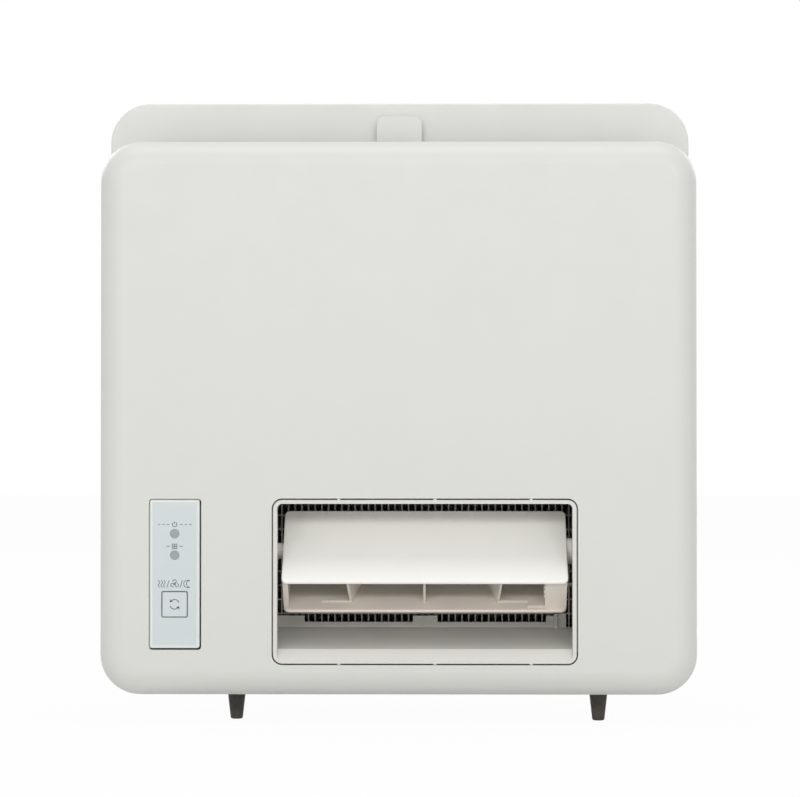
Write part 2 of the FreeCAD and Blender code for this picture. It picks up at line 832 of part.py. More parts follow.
def make_outlet_duct():
    duct = duct_walls()
    added = duct_rail()
    rib_z = outlet_top - stop_rib_drop
    added.append(block((outlet_right - stop_rib_length, duct_inner[1]), (rail_front, guard_front),
                       (rib_z, rib_z + stop_rib_height)))
    for x, z in ear_places():
        inner = duct_x[0] if x < outlet_shift else duct_x[1]
        ear_x = sorted((inner, x + math.copysign(ear_size / 2, x - inner)))
        added.append(block(ear_x, (ear_front, guard_front), around(z, ear_size)))
        added.append(rod_y((ear_front, plate_front), x, z, ear_size / 2))
    for step in (-1, 0, 1):
        x = outlet_shift + bezel_rib_shift + step * bezel_rib_spacing
        rib_x = around(x, bezel_rib)
        proud = bezel_gap - bezel_rib_gap
        top = outlet_top + bezel_width
        low = outlet_bottom - bezel_width
        added.append(block(rib_x, (face_y, face_y + lip_depth), (top - proud, top + proud)))
        added.append(block(rib_x, (face_y, face_y + lip_depth), (low - proud, low + proud)))
    added.append(rod_x((duct_x[0] - pin_boss_length, duct_inner[0]), pivot_y, pivot_z, pin_boss / 2))
    added.append(rod_x((duct_inner[1], stepper_face), pivot_y, pivot_z, hub_step / 2))
    for y, z in stepper_tab_places():
        added.append(rod_x((duct_inner[1], stepper_face), y, z, stepper_tab / 2))
    duct = duct.multiFuse(added)
    for x, z in ear_places():
        duct = duct.cut(rod_y(grown((ear_front, plate_front), cut_past), x, z, small_hole))
    duct = duct.cut(rod_x((duct_x[0] - pin_boss_length - cut_past, duct_inner[0] + cut_past),
                          pivot_y, pivot_z, pin_size / 2 + running_gap))
    duct = duct.cut(rod_x((duct_inner[1] - cut_past, stepper_face + cut_past),
                          pivot_y, pivot_z, hub_journal / 2 + running_gap))
    for y, z in stepper_tab_places():
        duct = duct.cut(rod_x((duct_inner[1] + duct_wall / 2, stepper_face + cut_past), y, z, small_hole))
    save("outlet_duct", duct.removeSplitter())


def make_duct_screws():
    length = plate_front + plate_wall - ear_front
    save("duct_screws", *[small_screw(point(x, ear_front, z), axis_y, length) for x, z in ear_places()])


def make_outlet_guard():
    save("outlet_guard", grid(duct_x, (guard_front, heater_front), duct_z, duct_inner,
                              (floor_back, outlet_top), guard_columns, guard_rows, guard_bar))


def set_louver(shape):
    """Tilts a piece drawn level about the pivot and puts it in the duct."""
    shape.rotate(point(0, 0, 0), axis_x, louver_tilt)
    shape.translate(point(outlet_shift, pivot_y, pivot_z))
    return shape


def blade(half_width, y_range, z_range, corner, edge_radius):
    """A level blade with rounded corners and rounded edges."""
    body = rounded((-half_width, half_width), y_range, z_range, axis_z, corner)
    rims = [edge for edge in body.Edges if abs(edge.Vertexes[0].Z - edge.Vertexes[1].Z) < tiny]
    return body.makeFillet(edge_radius, rims)


def make_louver_flap():
    flap_z = (flap_under, flap_under + flap_thickness)
    flap = blade(louver_half, (-flap_front, flap_rear), flap_z, flap_corner, flap_edge)
    save("louver_flap", set_louver(flap))


def tray_level(y):
    """Height of the lower blade's upper face at a place along it."""
    return -tray_drop - (y + tray_front) * math.tan(math.radians(tray_slope))


def louver_cheek(outline, x_range, side):
    """One end of the tray, rounded along the top of its outer side."""
    cheek = prism_x(outline, x_range)
    outer = side * tray_half
    upper = [edge for edge in cheek.Edges
             if all(abs(corner.X - outer) < tiny and abs(corner.Z - flap_under) < tiny
                    for corner in edge.Vertexes)]
    return cheek.makeFillet(cheek_round, upper)


def cheek_nubs():
    """A row of small nubs down the inner side of the right cheek."""
    x = tray_half - cheek_right
    front = -flap_front + cheek_setback
    levels = [flap_under - nub_drop - number * nub_spacing for number in range(nub_count)]
    return [rod_y((front, front + nub_length), x, z, nub_size / 2) for z in levels]


def tray_cross_ridge(x_range, y):
    """A low ridge across the lower blade."""
    level = tray_level(y)
    return block(x_range, around(y, 2 * tray_ridge_height),
                 (level - tray_thickness / 2, level + tray_ridge_height))


def louver_vane(side):
    """One upright vane between the blades; the outer two are splayed."""
    outline = [(-vane_foot, tray_level(-vane_foot) - tray_thickness / 2),
               (-vane_rear, tray_level(-vane_rear) - tray_thickness / 2), (-vane_rear, flap_under),
               (-vane_front, flap_under)]
    vane = prism_x(outline, (-vane_thickness / 2, vane_thickness / 2))
    vane.rotate(point(0, -vane_foot, 0), axis_z, side * vane_splay)
    vane.translate(point(vane_shift + side * vane_spacing, 0, 0))
    return vane


def make_louver_tray():
    base = blade(tray_half, (0, tray_length), (-tray_thickness, 0), tray_corner, tray_edge)
    base.rotate(point(0, 0, 0), axis_x, -tray_slope)
    base.translate(point(0, -tray_front, -tray_drop))
    front = -tray_front + tray_corner
    rear = -tray_front + tray_length * math.cos(math.radians(tray_slope)) - tray_corner
    cheek_outline = [(y, tray_level(y) - tray_thickness / 2) for y in (front, rear)]
    cheek_outline += [(cheek_rear, -cheek_rear), (cheek_rear, flap_under),
                      (-flap_front + cheek_setback, flap_under)]
    right_inner = tray_half - cheek_right
    added = [louver_cheek(cheek_outline, (-tray_half, -tray_half + cheek_left), -1),
             louver_cheek(cheek_outline, (right_inner, tray_half), 1)]
    for side in (-1, 0, 1):
        added.append(louver_vane(side))
    for side in (-1, 1):
        foot = vane_shift + side * vane_spacing
        added.append(tray_cross_ridge(sorted((foot, foot + side * tray_ridge)), -vane_foot))
    added.append(tray_cross_ridge((right_inner - front_ridge, right_inner), -tray_front + front_ridge_back))
    added += cheek_nubs()
    tray = base.multiFuse(added)
    pin_hole = grown((-tray_half, -tray_half + cheek_left), cut_past)
    hub_hole = (tray_half - hub_spigot_length, tray_half + cut_past)
    tray = tray.cut(rod_x(pin_hole, 0, 0, pin_size / 2 + fit_gap))
    tray = tray.cut(rod_x(hub_hole, 0, 0, hub_spigot / 2 + fit_gap))
    save("louver_tray", set_louver(tray.removeSplitter()))


def make_louver_pivots():
    """The plain pin at the left end and the driven hub at the right end."""
    wall = outlet_width / 2 + duct_side
    pin = rod_x((-wall - duct_wall - pin_boss_length, -tray_half + cheek_left), 0, 0, pin_size / 2)
    pin = pin.fuse(rod_x((-wall + axial_gap, -tray_half), 0, 0, pin_collar / 2))
    save("louver_pivot_pin", set_louver(pin.removeSplitter()))
    step = (louver_half + wall) / 2
    hub_end = wall + duct_wall + pin_boss_length - axial_gap
    hub = rod_x((tray_half - hub_spigot_length, hub_end), 0, 0, hub_journal / 2)
    hub = hub.fuse(rod_x((tray_half - hub_spigot_length, tray_half), 0, 0, hub_spigot / 2))
    hub = hub.fuse(rod_x((tray_half, wall - axial_gap), 0, 0, hub_step / 2))
    hub = hub.fuse(rod_x((louver_half, step), 0, 0, hub_collar / 2))
    hub = hub.cut(rod_x((hub_end - stepper_socket, hub_end + cut_past), 0, 0, stepper_shaft / 2 + fit_gap))
    save("louver_drive_hub", set_louver(hub.removeSplitter()))
    shaft = rod_x((hub_end - stepper_socket, hub_end + stepper_bore_depth), 0, 0, stepper_shaft / 2)
    save("louver_motor_shaft", set_louver(shaft))


def stepper():
    """A small geared motor on its shaft's axis at zero: its face is at x 0 and its body runs along +X."""
    lean = -stepper_offset
    body = rod_x((0, stepper_depth), 0, lean, stepper_size / 2)
    tab_y = (-stepper_tab_reach, stepper_tab_reach)
    tab = rounded((0, stepper_tab_thickness), grown(tab_y, stepper_tab / 2), around(lean, stepper_tab),
                  axis_x, stepper_tab / 2 - tiny)
    plug = block((stepper_tab_thickness, stepper_depth - stepper_tab_thickness), around(0, stepper_plug),
                 (lean - stepper_size / 2 - stepper_plug_depth, lean))
    motor = body.multiFuse([tab, plug])
    for y in tab_y:
        motor = motor.cut(rod_x((-cut_past, stepper_tab_thickness + cut_past), y, lean, small_hole))
    motor = motor.cut(rod_x((-cut_past, stepper_bore_depth), 0, 0, stepper_shaft / 2 + running_gap))
    return motor.removeSplitter()


def make_louver_motor():
    motor = stepper()
    motor.translate(point(stepper_face, pivot_y, pivot_z))
    save("louver_motor", motor)
    seat_x = stepper_face + stepper_tab_thickness
    length = stepper_tab_thickness + pin_boss_length
    save("louver_motor_screws", *[small_screw(point(seat_x, y, z), axis_x * -1, length)
                                  for y, z in stepper_tab_places()])


def make_control_fascia():
    fascia = rounded(fascia_x, (fascia_front, control_y), fascia_z, axis_y, fascia_corner)
    fascia = fascia.makeFillet(fascia_edge, edges_at_y(fascia, fascia_front))
    hollow = block(grown(fascia_x, -fascia_skin), (fascia_under, control_y), grown(fascia_z, -fascia_skin))
    fascia = fascia.cut(hollow)
    flange_y = (face_y + panel_wall, face_y + panel_wall + fascia_flange_thickness)
    flange = rounded((fascia_x[0] - fascia_flange, fascia_x[1]), flange_y,
                     (fascia_z[0], fascia_z[1] + fascia_flange), axis_y, fascia_corner)
    added = [flange.cut(block(grown(fascia_x, -fascia_skin / 2), grown(flange_y, cut_past),
                              grown(fascia_z, -fascia_skin / 2)))]
    for z in control_boss_places:
        added.append(rod_y((fascia_under - fascia_skin / 2, control_y), fascia_mid, z, control_boss / 2))
    fascia = fascia.multiFuse(added)
    through = (fascia_front - cut_past, fascia_under + cut_past)
    for z in lamp_places:
        fascia = fascia.cut(rod_y(through, fascia_mid, z, lamp_size / 2 + lamp_gap))
    window = button_size + 2 * button_gap
    fascia = fascia.cut(rounded(around(fascia_mid, window), through, around(button_z, window), axis_y,
                                button_corner + button_gap))
    screw_end = control_y + board_thickness - control_screw_length
    for z in control_boss_places:
        fascia = fascia.cut(rod_y((screw_end, control_y), fascia_mid, z, small_hole))
    save("control_fascia", fascia.removeSplitter())


def make_mode_button():
    wide = button_size + 2 * button_flange
    cap = rounded(around(fascia_mid, button_size), (fascia_front, button_flange_back),
                  around(button_z, button_size), axis_y, button_corner)
    flange_y = (button_flange_front, button_flange_back)
    flange = block(around(fascia_mid, wide), flange_y, around(button_z, wide))
    stem = rod_y((button_flange_front, plunger_front), fascia_mid, button_z, button_stem / 2)
    save("mode_button", cap.multiFuse([flange, stem]).removeSplitter())
    plunger = rod_y((plunger_front, switch_front + plunger_depth), fascia_mid, button_z, plunger_size / 2)
    save("switch_plunger", plunger)
    body = block(around(fascia_mid, switch_size), (switch_front, control_y), around(button_z, switch_size))
    well_end = switch_front + plunger_depth + button_travel + axial_gap
    well = rod_y((switch_front - cut_past, well_end), fascia_mid, button_z, plunger_size / 2 + running_gap)
    save("tact_switch", body.cut(well))


def make_lamps():
    lenses = []
    leds = []
    for z in lamp_places:
        lens = rod_y((fascia_front, fascia_under + lamp_flange_thickness), fascia_mid, z, lamp_size / 2)
        rim = rod_y((fascia_under, fascia_under + lamp_flange_thickness), fascia_mid, z, lamp_flange / 2)
        lenses.append(lens.fuse(rim).removeSplitter())
        dome_y = control_y - led_height + led_size / 2
        dome = Part.makeSphere(led_size / 2, point(fascia_mid, dome_y, z))
        leds.append(rod_y((dome_y, control_y), fascia_mid, z, led_size / 2).fuse(dome).removeSplitter())
    save("lamp_lenses", *lenses)
    save("lamp_leds", *leds)


def make_control_board():
    board_y = (control_y, control_y + board_thickness)
    board = block(fascia_x, board_y, fascia_z)
    for z in control_boss_places:
        board = board.cut(rod_y(grown(board_y, cut_past), fascia_mid, z, small_hole))
    save("control_board", board)
    save("control_screws", *[small_screw(point(fascia_mid, board_y[1], z), axis_y * -1, control_screw_length)
                             for z in control_boss_places])


def make_control_lead():
    """A flat lead from the back of the control board to the side of the power board's cover."""
    low = fascia_z[1] - lead_drop
    level = fascia_z[1] + lead_rise
    left = fascia_mid + lead_shift
    right = left + lead_thickness
    upper = level + lead_thickness
    outline = [(left, low), (left, upper), (box_x[0], upper), (box_x[0], level), (right, level), (right, low)]
    lead_y = control_y + board_thickness
    lead = prism_y(outline, (lead_y, lead_y + lead_width))
    for x, z, bend in ((left, upper, lead_bend + lead_thickness), (right, level, lead_bend)):
        corner = [edge for edge in edges_along(lead, axis_y)
                  if abs(edge.Vertexes[0].X - x) < tiny and abs(edge.Vertexes[0].Z - z) < tiny]
        lead = lead.makeFillet(bend, corner)
    save("control_lead", lead)


def make_filter():
    frame_x = (-filter_half, filter_half)
    frame = block(frame_x, (filter_front, filter_back), filter_z)
    open_x = grown(frame_x, -filter_border)
    open_z = grown(filter_z, -filter_border)
    net_front = filter_front + filter_thickness / 2
    frame = frame.cut(block(open_x, (filter_front - cut_past, filter_back + cut_past), open_z))
    net_x = grown(open_x, net_rebate)
    net_z = grown(open_z, net_rebate)
    frame = frame.cut(block(net_x, (net_front, filter_back + cut_past), net_z))
    bars = []
    for share in (1 / 3, 2 / 3):
        x = open_x[0] + (open_x[1] - open_x[0]) * share
        z = open_z[0] + (open_z[1] - open_z[0]) * share
        bars.append(block(around(x, filter_bar), (filter_front, net_front), open_z))
        bars.append(block(open_x, (filter_front, net_front), around(z, filter_bar)))
    tab_z = (filter_z[1] - tab_root, panel_top + tab_rise)
    tab_y = (filter_front - tab_thickness, filter_front)
    tab = rounded(around(0, tab_width), tab_y, tab_z, axis_y, tab_corner)
    bars.append(tab)
    save("filter_frame", frame.multiFuse(bars).removeSplitter())
    save("filter_net", block(net_x, (net_front, net_front + net_thickness), net_z))


def make_feet():
    for name, (x, y) in (("foot_left", foot_left), ("foot_right", foot_right)):
        tip = plate_bottom - foot_height
        cone = Part.makeCone(foot_bottom / 2, foot_top / 2, foot_height, point(x, y, tip), axis_z)
        rims = [edge for edge in cone.Edges if edge.Closed and abs(edge.Vertexes[0].Z - tip) < tiny]
        cone = cone.makeFillet(foot_edge, rims)
        shelf = plate_bottom + ledge_thickness
        neck = rod_z((plate_bottom, shelf), x, y, foot_neck / 2)
        head = rod_z((shelf, shelf + foot_head_height), x, y, foot_head / 2)
        save(name, cone.multiFuse([neck, head]).removeSplitter())


def make_cord_grommet():
    low = plate_bottom
    high = plate_bottom + ledge_thickness
    whole = grown((low, high), grommet_flange_height)
    sleeve = rod_z(whole, grommet_x, grommet_y, grommet_hole / 2)
    lower = rod_z((whole[0], low), grommet_x, grommet_y, grommet_flange / 2)
    upper = rod_z((high, whole[1]), grommet_x, grommet_y, grommet_flange / 2)
    bore = rod_z(grown(whole, cut_past), grommet_x, grommet_y, grommet_bore / 2)
    save("cord_grommet", sleeve.multiFuse([lower, upper]).cut(bore).removeSplitter())


def make_heater():
    frame = block(heater_x, (heater_front, heater_rear), heater_z)
    flange = block(grown(heater_x, heater_flange_reach), (heater_front, plate_front),
                   grown(heater_z, heater_flange_reach))
    inner_z = (floor_back, outlet_top)
    frame = frame.fuse(flange).cut(block(duct_inner, grown((heater_front, heater_rear), cut_past), inner_z))
    save("heater_frame", frame.removeSplitter())
    middle = (plate_front + heater_rear) / 2
    bar_y = (middle - bar_depth / 2, middle + bar_depth / 2)
    fin_height = (inner_z[1] - inner_z[0] - bar_count * bar_height) / (bar_count + 1)
    bars = []
    for number in range(bar_count):
        low = inner_z[0] + fin_height + number * (fin_height + bar_height)
        bars.append(block(duct_inner, bar_y, (low, low + bar_height)))
    save("heater_bars", *bars)
    fins = []
    for number in range(bar_count + 1):
        low = inner_z[0] + number * (fin_height + bar_height) + fin_gap
        fins.append(folded_fin(duct_inner, bar_y, (low, low + fin_height - 2 * fin_gap)))
    save("heater_fins", *fins)


def folded_fin(x_range, y_range, z_range):
    """One sheet folded to and fro between two heater bars."""
    room = x_range[1] - x_range[0] - 2 * fin_gap
    folds = 2 * int(room / fin_pitch)
    step = room / folds
    upright = fin_sheet * math.hypot(step, z_range[1] - z_range[0]) / step
    levels = (z_range[0], z_range[1] - upright)
    line = [(x_range[0] + fin_gap + step * fold, levels[fold % 2]) for fold in range(folds + 1)]
    upper_side = [(x, z + upright) for x, z in reversed(line)]
    return prism_y(line + upper_side, y_range)


def make_heater_guards():
    """The thermostat and the thermal fuse on top of the heater's frame."""
    top = heater_z[1]
    width = heater_x[1] - heater_x[0]
    middle = (plate_front + heater_rear) / 2
    x = heater_x[0] + width * thermostat_place
    can = rod_z((top, top + thermostat_height), x, middle, thermostat_size / 2)
    tab_y = around(middle, thermostat_tab_width)
    added = [block(around(x, thermostat_tab_length), tab_y, (top, top + thermostat_tab_thickness))]
    for side in (-1, 1):
        pin_x = around(x + side * thermostat_pin_spacing / 2, thermostat_pin)
        added.append(block(pin_x, tab_y, (top, top + thermostat_height + thermostat_pin_height)))
    save("thermostat", can.multiFuse(added).removeSplitter())
    x = heater_x[0] + width * fuse_place
    rest = block(around(x, fuse_length / 2), around(middle, fuse_size), (top, top + fuse_size / 2))
    tube = rod_x((x - fuse_length / 2, x + fuse_length / 2), middle, top + fuse_size / 2, fuse_size / 2)
    save("thermal_fuse", tube.fuse(rest).removeSplitter())


def make_inlet_ring():
    """A bellmouth turned about the fan's axis, seated on the rear of the plate."""
    throat_y = plate_back + inlet_bell_length
    end_y = scroll_front + scroll_wall + inlet_lap
    mouth = (inlet_mouth, plate_back)
    via = (inlet_throat + inlet_bell * bell_middle_across, plate_back + inlet_bell_length * bell_middle_along)
    throat = (inlet_throat, throat_y)
    inner = [point(fan_x + r, y, fan_z) for r, y in (mouth, via, throat)]
    outer = [corner + axis_x * inlet_wall for corner in inner]
    inner_end = point(fan_x + inlet_throat, end_y, fan_z)
    outer_end = inner_end + axis_x * inlet_wall
    edges = [Part.Arc(inner[0], inner[1], inner[2]).toShape(), Part.makeLine(inner[2], inner_end),
             Part.makeLine(inner_end, outer_end), Part.makeLine(outer_end, outer[2]),
             Part.Arc(outer[2], outer[1], outer[0]).toShape(), Part.makeLine(outer[0], inner[0])]
    bell = Part.Face(Part.Wire(edges)).revolve(point(fan_x, 0, fan_z), axis_y, 360)
    flange_y = (plate_back, plate_back + inlet_flange_thickness)
    flange = rod_y(flange_y, fan_x, fan_z, inlet_mouth + inlet_wall + inlet_flange)
    flange = flange.cut(rod_y(grown(flange_y, cut_past), fan_x, fan_z, inlet_mouth + inlet_wall / 2))
    save("inlet_ring", bell.fuse(flange).removeSplitter())


def scroll_point(centre, radius, degrees):
    angle = math.radians(degrees)
    return point(centre[0] + radius * math.cos(angle), scroll_front, centre[1] + radius * math.sin(angle))


def scroll_face():
    """The inside of the scroll: three arcs that widen each quarter turn, and a straight mouth downwards."""
    first = (fan_x, fan_z)
    second = (fan_x - scroll_growth, fan_z)
    third = (fan_x - scroll_growth, fan_z - scroll_growth)
    radii = [tight_radius + scroll_growth * step for step in range(3)]
    left = scroll_point(third, radii[2], 180)
    top = scroll_point(third, radii[2], 90)
    right = scroll_point(first, radii[0], 0)
    tongue = scroll_point(first, radii[0], tongue_angle)
    low_left = point(left.x, scroll_front, shelf_top)
    low_right = point(tongue.x, scroll_front, shelf_top)
    edges = [Part.makeLine(low_left, left),
             Part.Arc(left, scroll_point(third, radii[2], 135), top).toShape(),
             Part.Arc(top, scroll_point(second, radii[1], 45), right).toShape(),
             Part.Arc(right, scroll_point(first, radii[0], (tongue_angle - 360) / 2), tongue).toShape(),
             Part.makeLine(tongue, low_right), Part.makeLine(low_right, low_left)]
    return Part.Face(Part.Wire(edges))


def make_scroll_housing():
    inside = scroll_face()
    outside = inside.makeOffset2D(scroll_wall)
    housing = outside.extrude(axis_y * (scroll_rear - scroll_front))
    below = block(grown((-casing_half, casing_half), cut_past), grown((scroll_front, scroll_rear), cut_past),
                  (shelf_top - scroll_wall * 2, shelf_top))
    housing = housing.cut(below)
    hollow = inside.extrude(axis_y * (scroll_rear - scroll_front - 2 * scroll_wall))
    hollow.translate(axis_y * scroll_wall)
    housing = housing.cut(hollow)
    front = grown((scroll_front, scroll_front + scroll_wall), cut_past)
    rear = grown((scroll_rear - scroll_wall, scroll_rear), cut_past)
    housing = housing.cut(rod_y(front, fan_x, fan_z, inlet_throat + inlet_wall + inlet_clearance))
    housing = housing.cut(rod_y(rear, fan_x, fan_z, motor_hole))
    for x, z in motor_screw_places():
        housing = housing.cut(rod_y(rear, x, z, small_hole))
    save("scroll_housing", housing.removeSplitter())


def make_plenum_shelf():
    """A plate that closes the fan's chamber off from the plenum, open under the scroll's mouth."""
    shelf_z = (shelf_top - shelf_thickness, shelf_top)
    shelf = block((-casing_half, casing_half), (heater_rear, casing_rear), shelf_z)
    mouth = scroll_face().extrude(axis_y * (scroll_rear - scroll_front - 2 * scroll_wall))
    mouth.translate(axis_y * scroll_wall - axis_z * (shelf_thickness + cut_past))
    notch = block((-casing_half - cut_past, -ear_outer + shelf_notch_gap),
                  (shutter_axis_y - stepper_offset - stepper_size / 2 - stepper_plug_depth - shelf_notch_gap,
                   casing_rear + cut_past), grown(shelf_z, cut_past))
    save("plenum_shelf", shelf.cut(mouth).cut(notch))


def wheel_point(radius, degrees):
    angle = math.radians(degrees)
    return point(fan_x + radius * math.cos(angle), wheel_front, fan_z + radius * math.sin(angle))


def fan_blade(start):
    """One forward-curved blade, its two sides an even thickness apart."""
    root = fan_radius - blade_depth
    stations = ((root, 0), (root + blade_depth / 2, blade_bend), (fan_radius, blade_lead))
    near = [wheel_point(radius, start + turn) for radius, turn in stations]
    far = [wheel_point(radius, start + turn + math.degrees(blade_thickness / radius))
           for radius, turn in stations]
    edges = [Part.Arc(near[0], near[1], near[2]).toShape(), Part.makeLine(near[2], far[2]),
             Part.Arc(far[2], far[1], far[0]).toShape(), Part.makeLine(far[0], near[0])]
    return Part.Face(Part.Wire(edges)).extrude(axis_y * (blade_length + fan_disc / 2))


def make_fan_wheel():
    disc = rod_y((disc_front, disc_back), fan_x, fan_z, fan_radius + fan_rim_proud)
    ring_y = (wheel_front, wheel_front + fan_ring)
    ring = rod_y(ring_y, fan_x, fan_z, fan_radius + fan_rim_proud)
    ring = ring.cut(rod_y(grown(ring_y, cut_past), fan_x, fan_z, fan_radius - fan_ring_width))
    hub = rod_y((hub_front, disc_back), fan_x, fan_z, hub_size / 2)
    blades = [fan_blade(360.0 / blade_count * number) for number in range(blade_count)]
    wheel = disc.multiFuse([ring, hub] + blades)
    wheel = wheel.cut(rod_y(grown((hub_front, disc_back), cut_past), fan_x, fan_z, shaft_size / 2 + fit_gap))
    save("fan_wheel", wheel.removeSplitter())


def make_fan_shaft():
    save("fan_shaft", rod_y((shaft_front_y, scroll_rear + shaft_tail), fan_x, fan_z, shaft_size / 2))
    corners = []
    for number in range(6):
        angle = math.radians(60 * number)
        reach = nut_size / math.sqrt(3)
        corners.append((fan_x + reach * math.cos(angle), fan_z + reach * math.sin(angle)))
    nut = prism_y(corners, (hub_front - nut_length, hub_front))
    save("fan_nut", nut.cut(rod_y(grown((hub_front - nut_length, hub_front), cut_past), fan_x, fan_z,
                                  shaft_size / 2 + fit_gap)))


def motor_screw_places():
    places = []
    for number in range(4):
        angle = math.radians(45 + 90 * number)
        across = motor_screw_circle * math.cos(angle)
        up = motor_screw_circle * math.sin(angle)
        places.append((fan_x + across, fan_z + up))
    return places


def make_fan_motor():
    flange_y = (scroll_rear, scroll_rear + motor_flange_thickness)
    flange = rod_y(flange_y, fan_x, fan_z, motor_flange)
    can = rod_y((flange_y[0], motor_back), fan_x, fan_z, motor_radius)
    rims = [edge for edge in can.Edges if edge.Closed and abs(edge.Vertexes[0].Y - motor_back) < tiny]
    can = can.makeFillet(motor_boss_length, rims)
    boss = rod_y((motor_back - motor_boss_length, motor_back + motor_boss_length), fan_x, fan_z, motor_boss)
    motor = flange.multiFuse([can, boss])
    for x, z in motor_screw_places():
        motor = motor.cut(rod_y(grown(flange_y, cut_past), x, z, small_hole))
    bore_end = scroll_rear + shaft_tail + axial_gap
    motor = motor.cut(rod_y((scroll_rear - cut_past, bore_end), fan_x, fan_z, shaft_size / 2 + running_gap))
    save("fan_motor", motor.removeSplitter())
    seat_y = flange_y[1]
    length = motor_flange_thickness + scroll_wall
    save("motor_screws", *[small_screw(point(x, seat_y, z), axis_y * -1, length)
                           for x, z in motor_screw_places()])


def grille_screw_places():
    x = exhaust_half + grille_screw_inset
    z = (exhaust_z[0] - grille_screw_inset, exhaust_z[1] + grille_screw_inset)
    return [(side * x, height) for side in (-1, 1) for height in z]


def crowned(body, way, bevel):
    """A body with the rim of the face that lies furthest along way bevelled."""
    far = max(corner.Point.dot(way) for corner in body.Vertexes)
    rims = [edge for edge in body.Edges
            if all(abs(corner.Point.dot(way) - far) < tiny for corner in edge.Vertexes)]
    return body.makeChamfer(bevel, rims)


def raised_from(level, side):
    """The span of a raised form, from the middle of its wall, whose outer face is at level."""
    return sorted((level - side * casing_wall / 2, level + side * casing_bead_height))


def casing_bead_forms():
    """Raised beads along the casing's top and sides."""
    bead_y = grown((plate_back + casing_wall, casing_rear), -casing_bead_margin)
    beads = []
    for number in range(casing_beads):
        share = (number + 0.5) / casing_beads
        x = casing_outer * (2 * share - 1)
        z = casing_outer_z[0] + (casing_outer_z[1] - casing_outer_z[0]) * share
        top = rounded(around(x, casing_bead), bead_y, raised_from(casing_outer_z[1], 1), axis_z,
                      casing_bead_corner)
        beads.append(crowned(top, axis_z, casing_bead_bevel))
        for side in (-1, 1):
            bead = rounded(raised_from(side * casing_outer, side), bead_y, around(z, casing_bead), axis_x,
                           casing_bead_corner)
            beads.append(crowned(bead, axis_x * side, casing_bead_bevel))
    return beads


def make_casing():
    """The sleeve through the window, with a flange that is screwed to the rear of the plate."""
    outer_x = (-casing_outer, casing_outer)
    casing_y = (plate_back, casing_rear)
    body = rounded(outer_x, casing_y, casing_outer_z, axis_y, casing_corner)
    flange_y = (plate_back, plate_back + casing_wall)
    flange = rounded(grown(outer_x, casing_flange), flange_y, grown(casing_outer_z, casing_flange), axis_y,
                     casing_corner)
    hollow = rounded((-casing_half, casing_half), grown(casing_y, cut_past), casing_z, axis_y,
                     casing_corner - casing_wall)
    body = body.multiFuse([flange] + casing_bead_forms()).cut(hollow)
    for x, z in casing_screw_places():
        body = body.cut(rod_y(grown(flange_y, cut_past), x, z, small_hole))
    save("casing", body.removeSplitter())
    seat_y = flange_y[1]
    length = casing_wall + casing_screw_length
    save("casing_screws", *[small_screw(point(x, seat_y, z), axis_y * -1, length)
                            for x, z in casing_screw_places()])


def make_rear_panel():
    """The casing's rear wall, seam-welded to the sleeve, with a raised field above the exhaust."""
    panel_y = (casing_rear, casing_back)
    outer_x = (-casing_outer, casing_outer)
    panel = rounded(outer_x, panel_y, casing_outer_z, axis_y, casing_corner)
    panel = panel.makeFillet(casing_edge, edges_at_y(panel, casing_back))
    field_z = grown((exhaust_z[1] + grille_border, casing_outer_z[1]), -casing_field_margin)
    field = rounded(grown(outer_x, -casing_field_margin), raised_from(casing_back, 1), field_z, axis_y,
                    casing_field_corner)
    panel = panel.fuse(crowned(field, axis_y, casing_bead_bevel))
    through = grown(panel_y, cut_past)
    panel = panel.cut(rounded((-exhaust_half, exhaust_half), through, exhaust_z, axis_y, exhaust_corner))
    for x, z in grille_screw_places():
        panel = panel.cut(rod_y(through, x, z, small_hole))
    save("rear_panel", panel.removeSplitter())


def make_rear_grille():
    grille_y = (casing_back, casing_back + grille_depth)
    exhaust_x = (-exhaust_half, exhaust_half)
    frame = rounded(grown(exhaust_x, grille_border), grille_y, grown(exhaust_z, grille_border), axis_y,
                    grille_corner)
    open_x = grown(exhaust_x, grille_lip)
    open_z = grown(exhaust_z, grille_lip)
    frame = frame.cut(rounded(open_x, grown(grille_y, cut_past), open_z, axis_y, exhaust_corner))
    slat_y = (grille_y[0] + slat_margin, grille_y[1] - slat_margin)
    count = int((open_z[1] - open_z[0] - slat_fall - slat_thickness) / slat_pitch) + 1
    parts = []
    for number in range(count):
        top = open_z[1] - slat_thickness - number * slat_pitch
        low = top - slat_fall
        outline = [(slat_y[0], top), (slat_y[1], low), (slat_y[1], low - slat_thickness),
                   (slat_y[0], top - slat_thickness)]
        parts.append(prism_x(outline, grown(open_x, grille_lip)))
    for share in (-1 / 3, 1 / 3):
        mullion_x = around(share * exhaust_half, mullion)
        parts.append(block(mullion_x, (slat_y[0], slat_y[0] + mullion), grown(open_z, grille_lip)))
    grille = frame.multiFuse(parts)
    for x, z in grille_screw_places():
        grille = grille.cut(rod_y(grown(grille_y, cut_past), x, z, small_hole))
    save("rear_grille", grille.removeSplitter())
    length = grille_depth + casing_wall
    save("grille_screws", *[small_screw(point(x, grille_y[1], z), axis_y * -1, length)
                            for x, z in grille_screw_places()])


